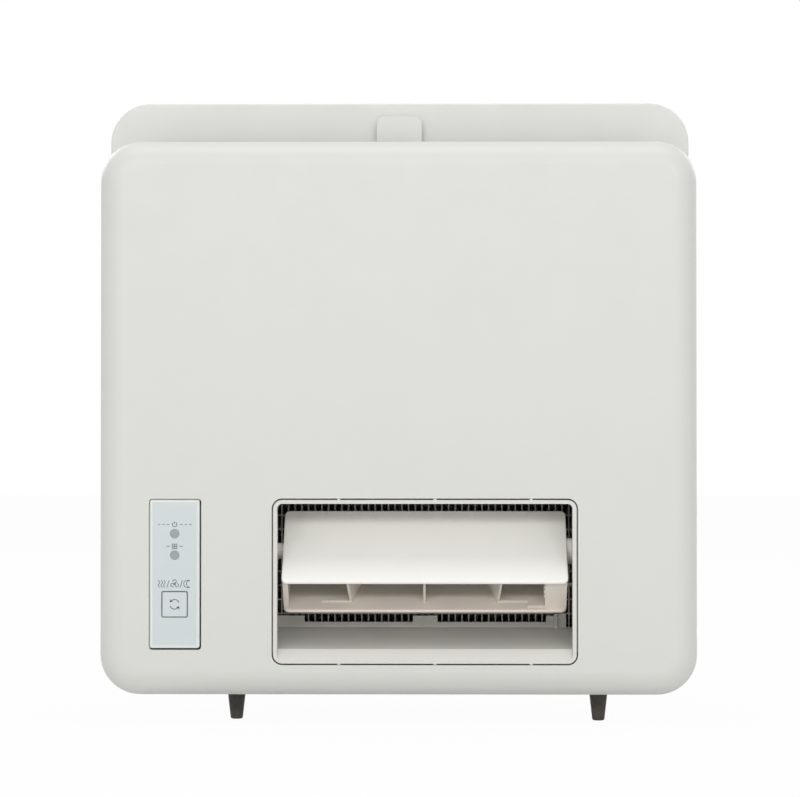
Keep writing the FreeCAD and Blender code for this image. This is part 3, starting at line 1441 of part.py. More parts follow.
def make_shutter_frame():
    frame_y = (shutter_seat, casing_rear)
    exhaust_x = (-exhaust_half, exhaust_half)
    frame = rounded(grown(exhaust_x, shutter_frame_border), frame_y, grown(exhaust_z, shutter_frame_border),
                    axis_y, exhaust_corner)
    frame = frame.cut(rounded(exhaust_x, grown(frame_y, cut_past), exhaust_z, axis_y, exhaust_corner))
    ears = []
    for side in (-1, 1):
        ears.append(block(sorted((side * ear_inner, side * ear_outer)),
                          (shutter_axis_y - shutter_ear_size / 2, shutter_seat + shutter_frame_thickness / 2),
                          around(shutter_axis_z, shutter_ear_size)))
    frame = frame.multiFuse(ears)
    frame = frame.cut(rod_x((ear_inner - cut_past, ear_outer + cut_past), shutter_axis_y, shutter_axis_z,
                            shutter_pin_size / 2 + fit_gap))
    frame = frame.cut(rod_x((-ear_outer - cut_past, -ear_inner + cut_past), shutter_axis_y, shutter_axis_z,
                            stepper_shaft / 2 + running_gap))
    for x, z in grille_screw_places():
        frame = frame.cut(rod_y(grown(frame_y, cut_past), x, z, small_hole))
    save("shutter_frame", frame.removeSplitter())


def make_exhaust_shutter():
    plate_y = (shutter_seat - shutter_gap - shutter_thickness, shutter_seat - shutter_gap)
    shutter = block((-shutter_half, shutter_half), plate_y, (exhaust_z[0] - shutter_lap, shutter_axis_z))
    parts = []
    for number in range(shutter_bead_count):
        z = exhaust_z[0] + (exhaust_z[1] - exhaust_z[0]) * (number + 0.5) / shutter_bead_count
        parts.append(block((-exhaust_half, exhaust_half), (plate_y[0] - shutter_thickness / 2, plate_y[0]),
                           around(z, shutter_bead)))
    knuckle_start = shutter_half - knuckle_length
    knuckles = [(-shutter_half, -knuckle_start), (knuckle_start, shutter_half)]
    for span in knuckles:
        parts.append(rod_x(span, shutter_axis_y, shutter_axis_z, knuckle_size / 2))
    shutter = shutter.multiFuse(parts)
    shutter = shutter.cut(rod_x(grown(knuckles[0], cut_past), shutter_axis_y, shutter_axis_z,
                                stepper_shaft / 2 + fit_gap))
    shutter = shutter.cut(rod_x(grown(knuckles[1], cut_past), shutter_axis_y, shutter_axis_z,
                                shutter_pin_size / 2 + running_gap))
    save("exhaust_shutter", shutter.removeSplitter())


def make_shutter_drive():
    pin = rod_x((shutter_half - knuckle_length, ear_outer), shutter_axis_y, shutter_axis_z,
                shutter_pin_size / 2)
    head = rod_x((ear_outer, ear_outer + shutter_pin_head_height), shutter_axis_y, shutter_axis_z,
                 shutter_pin_head / 2)
    save("shutter_pin", pin.fuse(head).removeSplitter())
    motor = stepper()
    motor.rotate(point(0, 0, 0), axis_x, -90)
    motor = motor.mirror(point(0, 0, 0), axis_x)
    motor.translate(point(-ear_outer, shutter_axis_y, shutter_axis_z))
    save("shutter_motor", motor)
    shaft = rod_x((-ear_outer - stepper_bore_depth + axial_gap, -shutter_half + knuckle_length),
                  shutter_axis_y, shutter_axis_z, stepper_shaft / 2)
    save("shutter_motor_shaft", shaft)


def on_board(size, place):
    """A block standing on the board, placed from the board's middle and top."""
    x = (board_x[0] + board_x[1]) / 2 + place[0]
    z = board_z[1] - place[1]
    return block(around(x, size[0]), (board_front - size[1], board_front), around(z, size[2]))


def make_power_board():
    board = block(board_x, (board_front, board_back), board_z)
    for x, z in peg_places():
        board = board.cut(rod_y(grown((board_front, board_back), cut_past), x, z, peg_size / 2 + screw_gap))
    save("power_board", board)
    middle = (board_x[0] + board_x[1]) / 2
    parts = [on_board(transformer, transformer_place)]
    for place in relay_places:
        parts.append(on_board(relay, place))
    parts.append(rod_y((board_front - capacitor_depth, board_front), middle + capacitor_place[0],
                       board_z[1] - capacitor_place[1], capacitor_size / 2))
    heat_sink = on_board(sink, sink_place)
    box = heat_sink.BoundBox
    gap = (sink[0] - sink_ribs * sink_rib) / (sink_ribs - 1)
    for number in range(sink_ribs - 1):
        left = box.XMin + sink_rib + number * (sink_rib + gap)
        slot = block((left, left + gap), grown((box.YMin, box.YMax), cut_past),
                     (box.ZMin + sink_base, box.ZMax + cut_past))
        heat_sink = heat_sink.cut(slot)
    save("board_parts", *parts, heat_sink)


def make_terminal_block():
    middle = (board_x[0] + board_x[1]) / 2
    low = board_z[0] + 2 * peg_inset
    high = low + terminal_height
    front = board_front - terminal_depth
    terminal = block(around(middle, terminal_width), (front, board_front), (low, high))
    for step in (-1, 0, 1):
        x = middle + step * terminal_width / 3
        terminal = terminal.cut(rod_y((front - cut_past, front + terminal_depth / 2), x,
                                      high - terminal_height / 3, terminal_screw_hole / 2))
        terminal = terminal.cut(rod_z((low - cut_past, low + terminal_height / 2), x,
                                      board_front - terminal_depth / 3, terminal_wire_hole / 2))
    save("terminal_block", terminal)


def make_board_cover():
    cover_y = (plate_front - board_box_depth, plate_front)
    cover = rounded(box_x, cover_y, box_z, axis_y, board_box_corner)
    inner = rounded(grown(box_x, -board_box_wall), (cover_y[0] + board_box_wall, plate_front),
                    grown(box_z, -board_box_wall), axis_y, board_box_corner - board_box_wall)
    save("board_cover", cover.cut(inner))


os.makedirs("parts", exist_ok=True)
make_front_panel()
make_panel_screws()
make_back_plate()
make_plate_rim()
make_filter_guides()
make_window_gasket()
make_outlet_duct()
make_duct_screws()
make_outlet_guard()
make_louver_flap()
make_louver_tray()
make_louver_pivots()
make_louver_motor()
make_control_fascia()
make_mode_button()
make_lamps()
make_control_board()
make_control_lead()
make_filter()
make_feet()
make_cord_grommet()
make_heater()
make_heater_guards()
make_inlet_ring()
make_scroll_housing()
make_plenum_shelf()
make_fan_wheel()
make_fan_shaft()
make_fan_motor()
make_casing()
make_rear_panel()
make_rear_grille()
make_shutter_frame()
make_exhaust_shutter()
make_shutter_drive()
make_power_board()
make_terminal_block()
make_board_cover()
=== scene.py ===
import bpy
import bmesh
import math
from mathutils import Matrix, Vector


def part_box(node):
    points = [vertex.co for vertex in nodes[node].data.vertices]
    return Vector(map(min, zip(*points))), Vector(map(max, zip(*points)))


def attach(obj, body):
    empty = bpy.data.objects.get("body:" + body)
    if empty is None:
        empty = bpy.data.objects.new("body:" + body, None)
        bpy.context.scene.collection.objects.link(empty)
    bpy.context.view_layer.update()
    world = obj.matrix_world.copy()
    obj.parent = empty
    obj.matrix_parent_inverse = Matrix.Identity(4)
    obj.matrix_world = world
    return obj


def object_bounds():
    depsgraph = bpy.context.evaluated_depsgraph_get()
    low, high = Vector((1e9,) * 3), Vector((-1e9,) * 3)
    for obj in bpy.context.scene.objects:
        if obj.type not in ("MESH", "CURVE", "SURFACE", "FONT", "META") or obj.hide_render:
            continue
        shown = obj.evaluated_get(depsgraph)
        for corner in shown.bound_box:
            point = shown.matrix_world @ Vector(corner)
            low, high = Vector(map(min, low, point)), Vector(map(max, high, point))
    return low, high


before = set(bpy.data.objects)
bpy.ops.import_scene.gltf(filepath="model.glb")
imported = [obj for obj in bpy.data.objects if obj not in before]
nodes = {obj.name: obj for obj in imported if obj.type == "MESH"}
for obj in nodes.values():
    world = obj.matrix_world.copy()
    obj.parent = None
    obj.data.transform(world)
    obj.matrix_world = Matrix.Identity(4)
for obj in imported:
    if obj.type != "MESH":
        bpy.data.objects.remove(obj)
cad_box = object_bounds()

bpy.context.scene.view_settings.view_transform = "Standard"

MM = 0.001

# Noise runs between these two for nearly all of its area
NOISE_LOW = 0.3
NOISE_HIGH = 0.7

# Sockets of a colour mix node, which share their names with those of other kinds
MIX_SHARE = 0
MIX_FIRST = 6
MIX_SECOND = 7
MIX_COLOUR = 2


# Materials

def linear(value):
    """One channel of a screen colour, 0 to 255, as linear light."""
    share = value / 255
    return share / 12.92 if share <= 0.04045 else ((share + 0.055) / 1.055) ** 2.4


def shade(red, green, blue):
    """A colour as it is read from a screen, made linear."""
    return (linear(red), linear(green), linear(blue), 1.0)


def scaled(colour, amount):
    """The colour times an amount, opaque."""
    return tuple(part * amount for part in colour[:3]) + (1.0,)


class Paint:
    """A principled material with helpers that add its texture nodes."""

    def __init__(self, name, colour, roughness, metallic=0.0):
        self.material = bpy.data.materials.new(name)
        self.material.use_nodes = True
        self.tree = self.material.node_tree
        self.shader = self.tree.nodes["Principled BSDF"]
        self.shader.inputs["Base Color"].default_value = colour
        self.shader.inputs["Roughness"].default_value = roughness
        self.shader.inputs["Metallic"].default_value = metallic
        self.colour = colour
        self.place = self.add("ShaderNodeTexCoord").outputs["Object"]
        self.normal = None

    def add(self, kind, **settings):
        node = self.tree.nodes.new(kind)
        for key, value in settings.items():
            if key in node.inputs:
                node.inputs[key].default_value = value
            else:
                setattr(node, key, value)
        return node

    def join(self, source, target):
        self.tree.links.new(source, target)

    def noise(self, size, detail=2.0, stretch=None):
        """Noise whose grains are about size metres across, drawn out along an axis by stretch."""
        where = self.place
        if stretch:
            mapping = self.add("ShaderNodeMapping", Scale=stretch)
            self.join(where, mapping.inputs["Vector"])
            where = mapping.outputs["Vector"]
        texture = self.add("ShaderNodeTexNoise", Scale=1 / size, Detail=detail)
        self.join(where, texture.inputs["Vector"])
        return texture.outputs["Fac"]

    def vary_colour(self, source, low, high, start=NOISE_LOW, end=NOISE_HIGH):
        """The base colour runs from low to high times itself as the source rises."""
        ramp = self.add("ShaderNodeValToRGB")
        ramp.color_ramp.elements[0].position = start
        ramp.color_ramp.elements[1].position = end
        ramp.color_ramp.elements[0].color = scaled(self.colour, low)
        ramp.color_ramp.elements[1].color = scaled(self.colour, high)
        self.join(source, ramp.inputs["Fac"])
        self.join(ramp.outputs["Color"], self.shader.inputs["Base Color"])
        return ramp.outputs["Color"]

    def vary_roughness(self, source, low, high):
        """The roughness runs from low to high as the source rises."""
        span = self.add("ShaderNodeMapRange")
        span.inputs["From Min"].default_value = NOISE_LOW
        span.inputs["From Max"].default_value = NOISE_HIGH
        span.inputs["To Min"].default_value = low
        span.inputs["To Max"].default_value = high
        self.join(source, span.inputs["Value"])
        self.join(span.outputs["Result"], self.shader.inputs["Roughness"])

    def soften(self, radius):
        """Edges catch the light as if rounded by this radius."""
        bevel = self.add("ShaderNodeBevel", Radius=radius, samples=4)
        self.join(bevel.outputs["Normal"], self.shader.inputs["Normal"])
        self.normal = bevel.outputs["Normal"]

    def bump(self, source, height, strength):
        """The surface seems raised by height metres where the source is 1."""
        node = self.add("ShaderNodeBump", Strength=strength, Distance=height)
        self.join(source, node.inputs["Height"])
        if self.normal:
            self.join(self.normal, node.inputs["Normal"])
        self.join(node.outputs["Normal"], self.shader.inputs["Normal"])
        self.normal = node.outputs["Normal"]

    def near_edges(self, low, high, width):
        """1 within width of the edges of an x and z rectangle, 0 inside it."""
        blur = 0.2
        parts = self.add("ShaderNodeSeparateXYZ")
        self.join(self.place, parts.inputs["Vector"])
        nearest = None
        for axis, first, last in (("X", low[0], high[0]), ("Z", low[2], high[2])):
            away = self.add("ShaderNodeMath", operation="SUBTRACT")
            away.inputs[1].default_value = (first + last) / 2
            self.join(parts.outputs[axis], away.inputs[0])
            size = self.add("ShaderNodeMath", operation="ABSOLUTE")
            self.join(away.outputs[0], size.inputs[0])
            left = self.add("ShaderNodeMath", operation="SUBTRACT")
            left.inputs[0].default_value = (last - first) / 2
            self.join(size.outputs[0], left.inputs[1])
            if nearest is None:
                nearest = left.outputs[0]
            else:
                least = self.add("ShaderNodeMath", operation="MINIMUM")
                self.join(nearest, least.inputs[0])
                self.join(left.outputs[0], least.inputs[1])
                nearest = least.outputs[0]
        ramp = self.add("ShaderNodeMapRange")
        ramp.inputs["From Min"].default_value = width * (1 - blur)
        ramp.inputs["From Max"].default_value = width * (1 + blur)
        ramp.inputs["To Min"].default_value = 1.0
        ramp.inputs["To Max"].default_value = 0.0
        self.join(nearest, ramp.inputs["Value"])
        return ramp.outputs["Result"]


def satin_plastic(name, colour, roughness=0.42):
    """Moulded plastic: a fine spark-eroded grain, faint clouding and slightly uneven gloss."""
    paint = Paint(name, colour, roughness)
    paint.vary_colour(paint.noise(0.06), low=0.994, high=1.006)
    paint.vary_roughness(paint.noise(0.02), low=roughness - 0.04, high=roughness + 0.05)
    paint.soften(radius=0.0004)
    paint.bump(paint.noise(0.0005, detail=3.0), height=0.00001, strength=0.35)
    return paint


def dark_plastic(name, colour, roughness=0.5):
    """Dark moulded plastic, more mottled than the white."""
    paint = Paint(name, colour, roughness)
    paint.vary_colour(paint.noise(0.012, detail=4.0), low=0.8, high=1.25)
    paint.vary_roughness(paint.noise(0.006), low=roughness - 0.08, high=roughness + 0.08)
    paint.soften(radius=0.0003)
    paint.bump(paint.noise(0.0004), height=0.00002, strength=0.4)
    return paint


def coated_metal(name, colour, roughness=0.48):
    """Powder coat: the orange-peel ripple of a sprayed and baked finish."""
    paint = Paint(name, colour, roughness)
    paint.vary_colour(paint.noise(0.05, detail=3.0), low=0.985, high=1.015)
    paint.vary_roughness(paint.noise(0.015), low=roughness - 0.05, high=roughness + 0.08)
    paint.soften(radius=0.0005)
    paint.bump(paint.noise(0.0016, detail=1.0), height=0.00004, strength=0.3)
    return paint


def bright_metal(name, colour, roughness=0.3, stretch=(1, 1, 1)):
    """Bare metal with fine scratches, drawn out along an axis by stretch."""
    paint = Paint(name, colour, roughness, 1.0)
    scratches = paint.noise(0.0012, detail=3.0, stretch=stretch)
    paint.vary_colour(paint.noise(0.01), low=0.85, high=1.08)
    paint.vary_roughness(scratches, low=roughness - 0.08, high=roughness + 0.14)
    paint.soften(radius=0.0002)
    paint.bump(scratches, height=0.00001, strength=0.3)
    return paint


def rubber(name, colour):
    """Moulded rubber, matt and slightly dusty."""
    paint = Paint(name, colour, roughness=0.68)
    paint.vary_colour(paint.noise(0.004, detail=4.0), low=0.8, high=1.3)
    paint.vary_roughness(paint.noise(0.002), low=0.6, high=0.78)
    paint.soften(radius=0.0004)
    paint.bump(paint.noise(0.0006, detail=3.0), height=0.00005, strength=0.4)
    return paint


def foam(name, colour):
    """Closed-cell foam: small round cells with dark gaps."""
    cell_size = 0.0014
    paint = Paint(name, colour, roughness=0.9)
    cells = paint.add("ShaderNodeTexVoronoi", Scale=1 / cell_size)
    paint.join(paint.place, cells.inputs["Vector"])
    paint.vary_colour(cells.outputs["Distance"], low=1.4, high=0.6)
    paint.bump(cells.outputs["Distance"], height=0.0002, strength=0.6)
    return paint


def woven_net(name, colour):
    """A fine net: threads that cross every millimetre, with the dark of the cells between them."""
    wave_scale = math.pi / 10 / (1.0 * MM)
    paint = Paint(name, colour, roughness=0.7)
    highest = None
    for direction in ("X", "Z"):
        threads = paint.add("ShaderNodeTexWave", Scale=wave_scale, bands_direction=direction)
        paint.join(paint.place, threads.inputs["Vector"])
        if highest is None:
            highest = threads.outputs["Fac"]
        else:
            both = paint.add("ShaderNodeMath", operation="MAXIMUM")
            paint.join(highest, both.inputs[0])
            paint.join(threads.outputs["Fac"], both.inputs[1])
            highest = both.outputs[0]
    paint.vary_colour(highest, low=0.15, high=1.3, start=0.55, end=0.85)
    paint.bump(highest, height=0.0003, strength=0.7)
    return paint


def circuit_board(name, colour):
    """Solder mask with the raised lines of copper under it."""
    pattern_size = 0.006
    paint = Paint(name, colour, roughness=0.35)
    bricks = paint.add("ShaderNodeTexBrick", Scale=1 / pattern_size)
    bricks.inputs["Color1"].default_value = scaled(colour, 0.9)
    bricks.inputs["Color2"].default_value = scaled(colour, 1.3)
    bricks.inputs["Mortar"].default_value = scaled(colour, 2.2)
    bricks.inputs["Mortar Size"].default_value = 0.04
    turned = paint.add("ShaderNodeMapping", Rotation=(math.pi / 2, 0, 0))
    paint.join(paint.place, turned.inputs["Vector"])
    paint.join(turned.outputs["Vector"], bricks.inputs["Vector"])
    paint.join(bricks.outputs["Color"], paint.shader.inputs["Base Color"])
    paint.bump(bricks.outputs["Fac"], height=0.00004, strength=0.5)
    return paint


def ribbon_lead(name, colour):
    """A flat lead: rounded cores side by side across its width."""
    wave_size = 0.008
    paint = Paint(name, colour, roughness=0.5)
    waves = paint.add("ShaderNodeTexWave", Scale=1 / wave_size, bands_direction="Y")
    paint.join(paint.place, waves.inputs["Vector"])
    paint.vary_colour(waves.outputs["Fac"], low=0.75, high=1.1)
    paint.bump(waves.outputs["Fac"], height=0.0003, strength=0.6)
    return paint


def overlay_film(name, colour, low, high):
    """A printed film with a paler rim round its edges: partly the pale bevel of the moulding, partly a
    painted highlight where light catches that bevel.
    """
    # Paler rim colour: partly pale moulding, partly painted highlight on the bevel
    rim_bevel_and_highlight = shade(226, 229, 226)
    paint = Paint(name, colour, roughness=0.3)
    film = paint.vary_colour(paint.noise(0.02), low=0.99, high=1.01)
    rim = paint.near_edges(low, high, width=0.0018)
    mix = paint.add("ShaderNodeMix", data_type="RGBA")
    mix.inputs[MIX_SECOND].default_value = rim_bevel_and_highlight
    paint.join(rim, mix.inputs[MIX_SHARE])
    paint.join(film, mix.inputs[MIX_FIRST])
    paint.join(mix.outputs[MIX_COLOUR], paint.shader.inputs["Base Color"])
    paint.vary_roughness(paint.noise(0.03), low=0.3, high=0.36)
    paint.soften(radius=0.0006)
    paint.bump(paint.noise(0.0012), height=0.000004, strength=0.15)
    return paint


strip_low, strip_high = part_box("control_board")

panel_white = satin_plastic("panel_white", shade(215, 216, 211))
plate_white = satin_plastic("plate_white", shade(221, 222, 217), 0.46)
bezel_white = satin_plastic("bezel_white", shade(217, 216, 210))
louver_white = satin_plastic("louver_white", shade(247, 246, 242), 0.4)
# Painted shade: the tray's warm, darker tint stands for the warm shade inside the outlet; the tray
# itself is white plastic.
tray_warm_painted_shade = satin_plastic("tray_warm_painted_shade", shade(228, 219, 209), 0.42)
tab_white = satin_plastic("tab_white", shade(220, 221, 216), 0.44)
strip_film = overlay_film("strip_film", shade(207, 214, 216), strip_low, strip_high)
button_film = satin_plastic("button_film", shade(208, 214, 218), 0.32)
print_grey = dark_plastic("print_grey", shade(106, 112, 119), 0.5)
lamp_grey = satin_plastic("lamp_grey", shade(156, 161, 162), 0.25)
hub_white = satin_plastic("hub_white", shade(242, 240, 235), 0.5)
guard_coat = coated_metal("guard_coat", shade(196, 189, 185), 0.5)
net_dark = woven_net("net_dark", shade(64, 64, 66))
foot_rubber = rubber("foot_rubber", shade(72, 67, 62))
gasket_foam = foam("gasket_foam", shade(48, 48, 49))
casing_coat = coated_metal("casing_coat", shade(206, 207, 204))
grille_white = satin_plastic("grille_white", shade(212, 213, 208), 0.5)
shutter_coat = coated_metal("shutter_coat", shade(188, 190, 190))
inner_black = dark_plastic("inner_black", shade(44, 43, 44))
heater_brown = dark_plastic("heater_brown", shade(38, 34, 33), 0.6)
wheel_grey = dark_plastic("wheel_grey", shade(96, 98, 100))
# Painted shade: the heater fins and bars are made nearly black so that the space behind the outlet guard
# reads dark; real fins would be bare aluminium.
fins_painted_shade = coated_metal("fins_painted_shade", shade(52, 48, 47), 0.55)
can_metal = bright_metal("can_metal", shade(196, 196, 194), 0.34, (8, 1, 1))
screw_metal = bright_metal("screw_metal", shade(190, 190, 188), 0.3)
board_green = circuit_board("board_green", shade(38, 92, 60))
board_dark = circuit_board("board_dark", shade(58, 64, 61))
lead_grey = ribbon_lead("lead_grey", shade(168, 170, 172))
ceramic_white = satin_plastic("ceramic_white", shade(226, 222, 212), 0.55)

finishes = {
    panel_white: ["front_panel"],
    plate_white: ["back_plate", "plate_rim", "filter_guides", "board_cover"],
    bezel_white: ["outlet_duct"],
    louver_white: ["louver_flap"],
    # painted shade: warm tint for the shade inside the outlet
    tray_warm_painted_shade: ["louver_tray"],
    tab_white: ["filter_frame"],
    strip_film: ["control_fascia"],
    button_film: ["mode_button"],
    lamp_grey: ["lamp_lenses", "lamp_leds"],
    hub_white: ["louver_pivot_pin", "louver_drive_hub", "switch_plunger"],
    guard_coat: ["outlet_guard"],
    net_dark: ["filter_net"],
    foot_rubber: ["foot_left", "foot_right", "cord_grommet"],
    gasket_foam: ["window_gasket"],
    casing_coat: ["casing", "rear_panel", "plenum_shelf"],
    grille_white: ["rear_grille"],
    shutter_coat: ["shutter_frame", "exhaust_shutter"],
    inner_black: ["scroll_housing", "inlet_ring", "board_parts", "tact_switch"],
    heater_brown: ["heater_frame"],
    wheel_grey: ["fan_wheel"],
    # painted shade: nearly black fins and bars behind the guard
    fins_painted_shade: ["heater_fins", "heater_bars"],
    can_metal: ["louver_motor", "shutter_motor", "fan_motor", "thermostat"],
    screw_metal: ["panel_screws", "duct_screws", "casing_screws", "control_screws", "grille_screws",
                  "motor_screws", "louver_motor_screws", "fan_shaft", "fan_nut", "louver_motor_shaft",
                  "shutter_motor_shaft", "shutter_pin"],
    board_green: ["power_board"],
    board_dark: ["control_board"],
    lead_grey: ["control_lead"],
    ceramic_white: ["terminal_block", "thermal_fuse"],
}

for paint, names in finishes.items():
    for name in names:
        mesh = nodes[name].data
        mesh.materials.clear()
        mesh.materials.append(paint.material)


# Printed symbols on the control strip

INK_LIFT = 0.02 * MM
INK_THICKNESS = 0.03 * MM

def arc(x, z, radius, first, last, steps=20):
    """Points along an arc, from the first angle to the last, in degrees."""
    points = []
    for step in range(steps + 1):
        angle = math.radians(first + (last - first) * step / steps)
        points.append((x + radius * math.cos(angle), z + radius * math.sin(angle)))
    return points


def power_sign(x, z, size):
    """A ring open at the top, with a stroke in the opening."""
    return [arc(x, z, size / 2, 125, 415), [(x, z + size * 0.1), (x, z + size * 0.62)]]


def filter_sign(x, z, size):
    """A square with a bar each way."""
    half = size / 2
    lines = [[(x - half, z - half), (x + half, z - half), (x + half, z + half), (x - half, z + half),
              (x - half, z - half)]]
    lines.append([(x, z - half), (x, z + half)])
    lines.append([(x - half, z), (x + half, z)])
    return lines


def heat_sign(x, z, size):
    """Three rising waves."""
    steps = 16
    turns = 1.25
    lines = []
    for column in (-1, 0, 1):
        points = []
        for step in range(steps + 1):
            share = step / steps - 0.5
            swing = math.sin(share * 2 * math.pi * turns) * size * 0.1
            points.append((x + column * size * 0.36 + swing, z + share * size))
        lines.append(points)
    return lines


def fan_sign(x, z, size):
    """Three open blades round a hub."""
    hub = size * 0.09
    reach = size * 0.3
    blade_radius = size * 0.2
    lines = [arc(x, z, hub, 0, 360, 12)]
    for turn in (90, 210, 330):
        start = math.radians(turn)
        middle = (x + reach * math.cos(start), z + reach * math.sin(start))
        lines.append(arc(middle[0], middle[1], blade_radius, turn - 200, turn + 110, 16))
    return lines


def moon_sign(x, z, size):
    """A crescent, open to the right."""
    outer = arc(x, z, size * 0.5, 60, 300, 20)
    inner = arc(x + size * 0.28, z, size * 0.436, 276, 84, 16)
    return [outer + inner + outer[:1]]


def cycle_sign(x, z, size):
    """Two arrows that follow each other round."""
    radius = size / 2
    sweep = 130
    barb = size * 0.26
    barb_turn = 140
    lines = []
    for turn in (20, 200):
        path = arc(x, z, radius, turn, turn + sweep, 16)
        tip = Vector(path[-1])
        along = math.radians(turn + sweep + 90)
        for side in (barb_turn, -barb_turn):
            way = along + math.radians(side)
            barb_end = (tip.x + barb * math.cos(way), tip.y + barb * math.sin(way))
            lines.append([barb_end, (tip.x, tip.y)])
        lines.append(path)
    return lines


def ribbon(mesh, line, width, y):
    """Adds a flat stroke of even width along a line of (x, z) points."""
    sharpest = 0.6
    points = [Vector(each) for each in line]
    closed = (points[0] - points[-1]).length < 1e-9
    sides = []
    for index, here in enumerate(points):
        before = points[max(index - 1, 0)]
        after = points[min(index + 1, len(points) - 1)]
        if closed and index in (0, len(points) - 1):
            before = points[-2]
            after = points[1]
        way = (after - before).normalized()
        across = Vector((-way.y, way.x))
        turn = (here - before).normalized() if (here - before).length > 0 else way
        stretch = 1 / max(sharpest, abs(turn.dot(way)))
        offset = across * width / 2 * stretch
        pair = []
        for corner in (here + offset, here - offset):
            pair.append(mesh.verts.new((corner.x, y, corner.y)))
        sides.append(pair)
    for first, second in zip(sides, sides[1:]):
        mesh.faces.new((first[0], second[0], second[1], first[1]))


def printed(name, lines, width, face, body):
    """Ink lines of a small thickness on the face at this y, which looks towards -Y."""
    mesh = bmesh.new()
    for line in lines:
        ribbon(mesh, line, width, face - INK_LIFT)
    bmesh.ops.recalc_face_normals(mesh, faces=mesh.faces)
    for each in mesh.faces:
        if each.normal.y > 0:
            each.normal_flip()
    data = bpy.data.meshes.new(name)
    mesh.to_mesh(data)
    mesh.free()
    data.materials.append(print_grey.material)
    piece = bpy.data.objects.new(name, data)
    bpy.context.scene.collection.objects.link(piece)
    thickness = piece.modifiers.new("thickness", "SOLIDIFY")
    thickness.thickness = INK_THICKNESS
    thickness.offset = 1.0
    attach(piece, body)


lamp_low, lamp_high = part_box("lamp_lenses")
button_low, button_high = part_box("mode_button")
strip_x = (strip_low.x + strip_high.x) / 2
strip_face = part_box("control_fascia")[0].y
button_z = (button_low.z + button_high.z) / 2

lens_flange_radius = 4.5 * MM
lamp_sign = 3.0 * MM
power_z = lamp_high.z - lens_flange_radius + 6.2 * MM
filter_z = lamp_low.z + lens_flange_radius + 5.9 * MM
mode_z = button_z + 13.6 * MM
mode_sign = 5.0 * MM
mode_fan = 5.6 * MM
mode_pitch = 8.6 * MM
slash_x = 4.4 * MM
slash_lean = 0.7 * MM
slash_half = 2.4 * MM


def dashes(z, side, first, pitch, length, count):
    """Level strokes on one side of the strip's middle, the first of them starting at first."""
    lines = []
    for number in range(count):
        near = strip_x + side * (first + pitch * number) * MM
        lines.append([(near, z), (near + side * length * MM, z)])
    return lines


strip_lines = power_sign(strip_x, power_z, lamp_sign)
for side in (-1, 1):
    strip_lines += dashes(power_z, side, first=3.6, pitch=3.0, length=1.7, count=3)
strip_lines += filter_sign(strip_x, filter_z, lamp_sign)
for side in (-1, 1):
    strip_lines += dashes(filter_z, side, first=3.2, pitch=0.0, length=2.2, count=1)
strip_lines += heat_sign(strip_x - mode_pitch, mode_z, mode_sign)
strip_lines += fan_sign(strip_x, mode_z, mode_fan)
strip_lines += moon_sign(strip_x + mode_pitch, mode_z, mode_sign)
for side in (-1, 1):
    middle = strip_x + side * slash_x
    foot = (middle - slash_lean, mode_z - slash_half)
    head = (middle + slash_lean, mode_z + slash_half)
    strip_lines.append([foot, head])
printed("strip_symbols", strip_lines, 0.46 * MM, strip_face, "housing")

outline_corner = 1.0 * MM
outline_arm = 8.3 * MM - outline_corner
outline = []
for x_side, z_side, first in ((1, 1, 0), (-1, 1, 90), (-1, -1, 180), (1, -1, 270)):
    corner_x = strip_x + x_side * outline_arm
    corner_z = button_z + z_side * outline_arm
    outline += arc(corner_x, corner_z, outline_corner, first, first + 90, 6)
outline.append(outline[0])
printed("button_outline", [outline], 0.45 * MM, button_low.y, "button")
printed("button_symbol", cycle_sign(strip_x, button_z, 6.4 * MM), 0.6 * MM, button_low.y, "button")


# Foam seal along the strip's lower edge, behind the panel

def make_strip_seal():
    """A foam block that closes the view past the strip's lower edge to what is behind the panel."""
    panel_wall = 2.5 * MM
    clearance = 0.1 * MM
    section = 4.0 * MM
    past_board = 1.0 * MM
    past_fascia = 3.0 * MM
    fascia_low, fascia_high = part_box("control_fascia")
    board_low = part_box("control_board")[0]
    wall_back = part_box("front_panel")[0].y + panel_wall
    low = (board_low.x - past_board, wall_back + clearance, fascia_low.z - section)
    high = (fascia_high.x + past_fascia, wall_back + section, fascia_low.z - clearance)
    mesh = bmesh.new()
    bmesh.ops.create_cube(mesh, size=1.0)
    for corner in mesh.verts:
        corner.co = Vector(high[axis] if corner.co[axis] > 0 else low[axis] for axis in range(3))
    data = bpy.data.meshes.new("strip_seal")
    mesh.to_mesh(data)
    mesh.free()
    data.materials.append(gasket_foam.material)
    piece = bpy.data.objects.new("strip_seal", data)
    bpy.context.scene.collection.objects.link(piece)
    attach(piece, "housing")


make_strip_seal()


# Floor, light and camera

def seen_directly(tree):
    """1 for rays from the camera, or from it by way of gloss or glass."""
    path = tree.nodes.new("ShaderNodeLightPath")
    total = path.outputs["Is Camera Ray"]
    for kind in ("Is Glossy Ray", "Is Transmission Ray"):
        more = tree.nodes.new("ShaderNodeMath")
        more.operation = "MAXIMUM"
        tree.links.new(total, more.inputs[0])
        tree.links.new(path.outputs[kind], more.inputs[1])
        total = more.outputs[0]
    return total


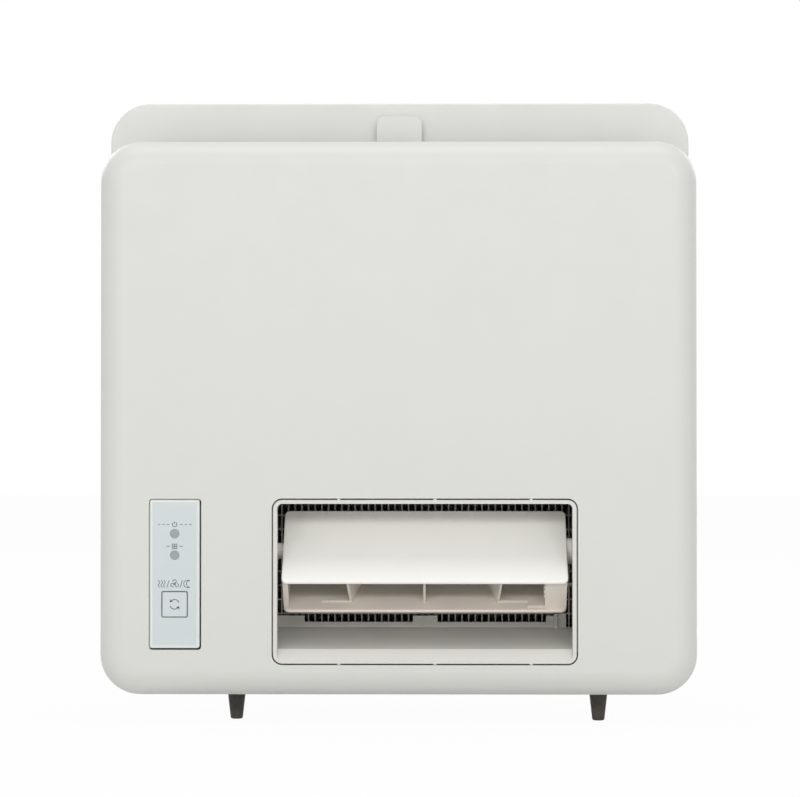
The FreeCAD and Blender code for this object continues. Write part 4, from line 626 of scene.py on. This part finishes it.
def make_floor():
    """A white floor, lit in part by its own glow so that it runs into the backdrop, clear from below."""
    size = 8.0
    glow_share = 0.96
    low = cad_box[0].z
    data = bpy.data.meshes.new("floor")
    corners = [(-size, -size, low), (size, -size, low), (size, size, low), (-size, size, low)]
    data.from_pydata(corners, [], [(0, 1, 2, 3)])
    floor = bpy.data.objects.new("floor", data)
    bpy.context.scene.collection.objects.link(floor)
    material = bpy.data.materials.new("floor_white")
    material.use_nodes = True
    tree = material.node_tree
    shader = tree.nodes["Principled BSDF"]
    shader.inputs["Base Color"].default_value = (0.75, 0.75, 0.74, 1.0)
    shader.inputs["Roughness"].default_value = 0.9
    glow = tree.nodes.new("ShaderNodeEmission")
    glow.inputs["Color"].default_value = (1.0, 1.0, 1.0, 1.0)
    share = tree.nodes.new("ShaderNodeMath")
    share.operation = "MULTIPLY"
    share.inputs[1].default_value = glow_share
    tree.links.new(seen_directly(tree), share.inputs[0])
    mix = tree.nodes.new("ShaderNodeMixShader")
    tree.links.new(share.outputs[0], mix.inputs["Fac"])
    tree.links.new(shader.outputs["BSDF"], mix.inputs[1])
    tree.links.new(glow.outputs["Emission"], mix.inputs[2])
    sides = tree.nodes.new("ShaderNodeNewGeometry")
    clear = tree.nodes.new("ShaderNodeBsdfTransparent")
    one_sided = tree.nodes.new("ShaderNodeMixShader")
    tree.links.new(sides.outputs["Backfacing"], one_sided.inputs["Fac"])
    tree.links.new(mix.outputs["Shader"], one_sided.inputs[1])
    tree.links.new(clear.outputs["BSDF"], one_sided.inputs[2])
    tree.links.new(one_sided.outputs["Shader"], tree.nodes["Material Output"].inputs["Surface"])
    data.materials.append(material)


def make_world():
    """Soft white light from all round, with a pure white backdrop."""
    world = bpy.data.worlds.new("studio")
    bpy.context.scene.world = world
    world.use_nodes = True
    tree = world.node_tree
    soft = tree.nodes["Background"]
    soft.inputs["Color"].default_value = (1.0, 1.0, 1.0, 1.0)
    soft.inputs["Strength"].default_value = 0.545
    white = tree.nodes.new("ShaderNodeBackground")
    white.inputs["Color"].default_value = (1.0, 1.0, 1.0, 1.0)
    white.inputs["Strength"].default_value = 1.0
    mix = tree.nodes.new("ShaderNodeMixShader")
    tree.links.new(seen_directly(tree), mix.inputs["Fac"])
    tree.links.new(soft.outputs["Background"], mix.inputs[1])
    tree.links.new(white.outputs["Background"], mix.inputs[2])
    tree.links.new(mix.outputs["Shader"], tree.nodes["World Output"].inputs["Surface"])


def softbox(name, place, target, width, height, power):
    """A rectangular lamp that faces its target."""
    light = bpy.data.lights.new(name, "AREA")
    light.shape = "RECTANGLE"
    light.size = width
    light.size_y = height
    light.energy = power
    lamp = bpy.data.objects.new(name, light)
    lamp.location = place
    lamp.rotation_euler = (Vector(target) - Vector(place)).to_track_quat("-Z", "Y").to_euler()
    bpy.context.scene.collection.objects.link(lamp)


def make_camera():
    """The photograph's view: nearly square on, a little right of the middle and tipped up slightly."""
    lens = bpy.data.cameras.new("camera")
    lens.sensor_width = 36.0
    lens.lens = 130.7
    camera = bpy.data.objects.new("camera", lens)
    camera.location = (0.028, -2.016, 0.005)
    camera.rotation_euler = (math.radians(90.82), 0.0, math.radians(0.79))
    bpy.context.scene.collection.objects.link(camera)
    bpy.context.scene.camera = camera


front_middle = (0.0, -0.05, 0.0)
rear_middle = (0.0, 0.05, 0.0)
make_floor()
make_world()
softbox("key", (0.05, -3.1, 0.85), front_middle, width=3.4, height=0.45, power=38.0)
softbox("top", (0.0, -0.5, 2.6), front_middle, width=2.4, height=1.6, power=22.0)
softbox("rear_left", (-1.8, 2.4, 1.5), rear_middle, width=1.8, height=1.4, power=20.0)
softbox("rear_right", (1.9, 2.2, 1.2), rear_middle, width=1.6, height=1.2, power=12.0)
make_camera()
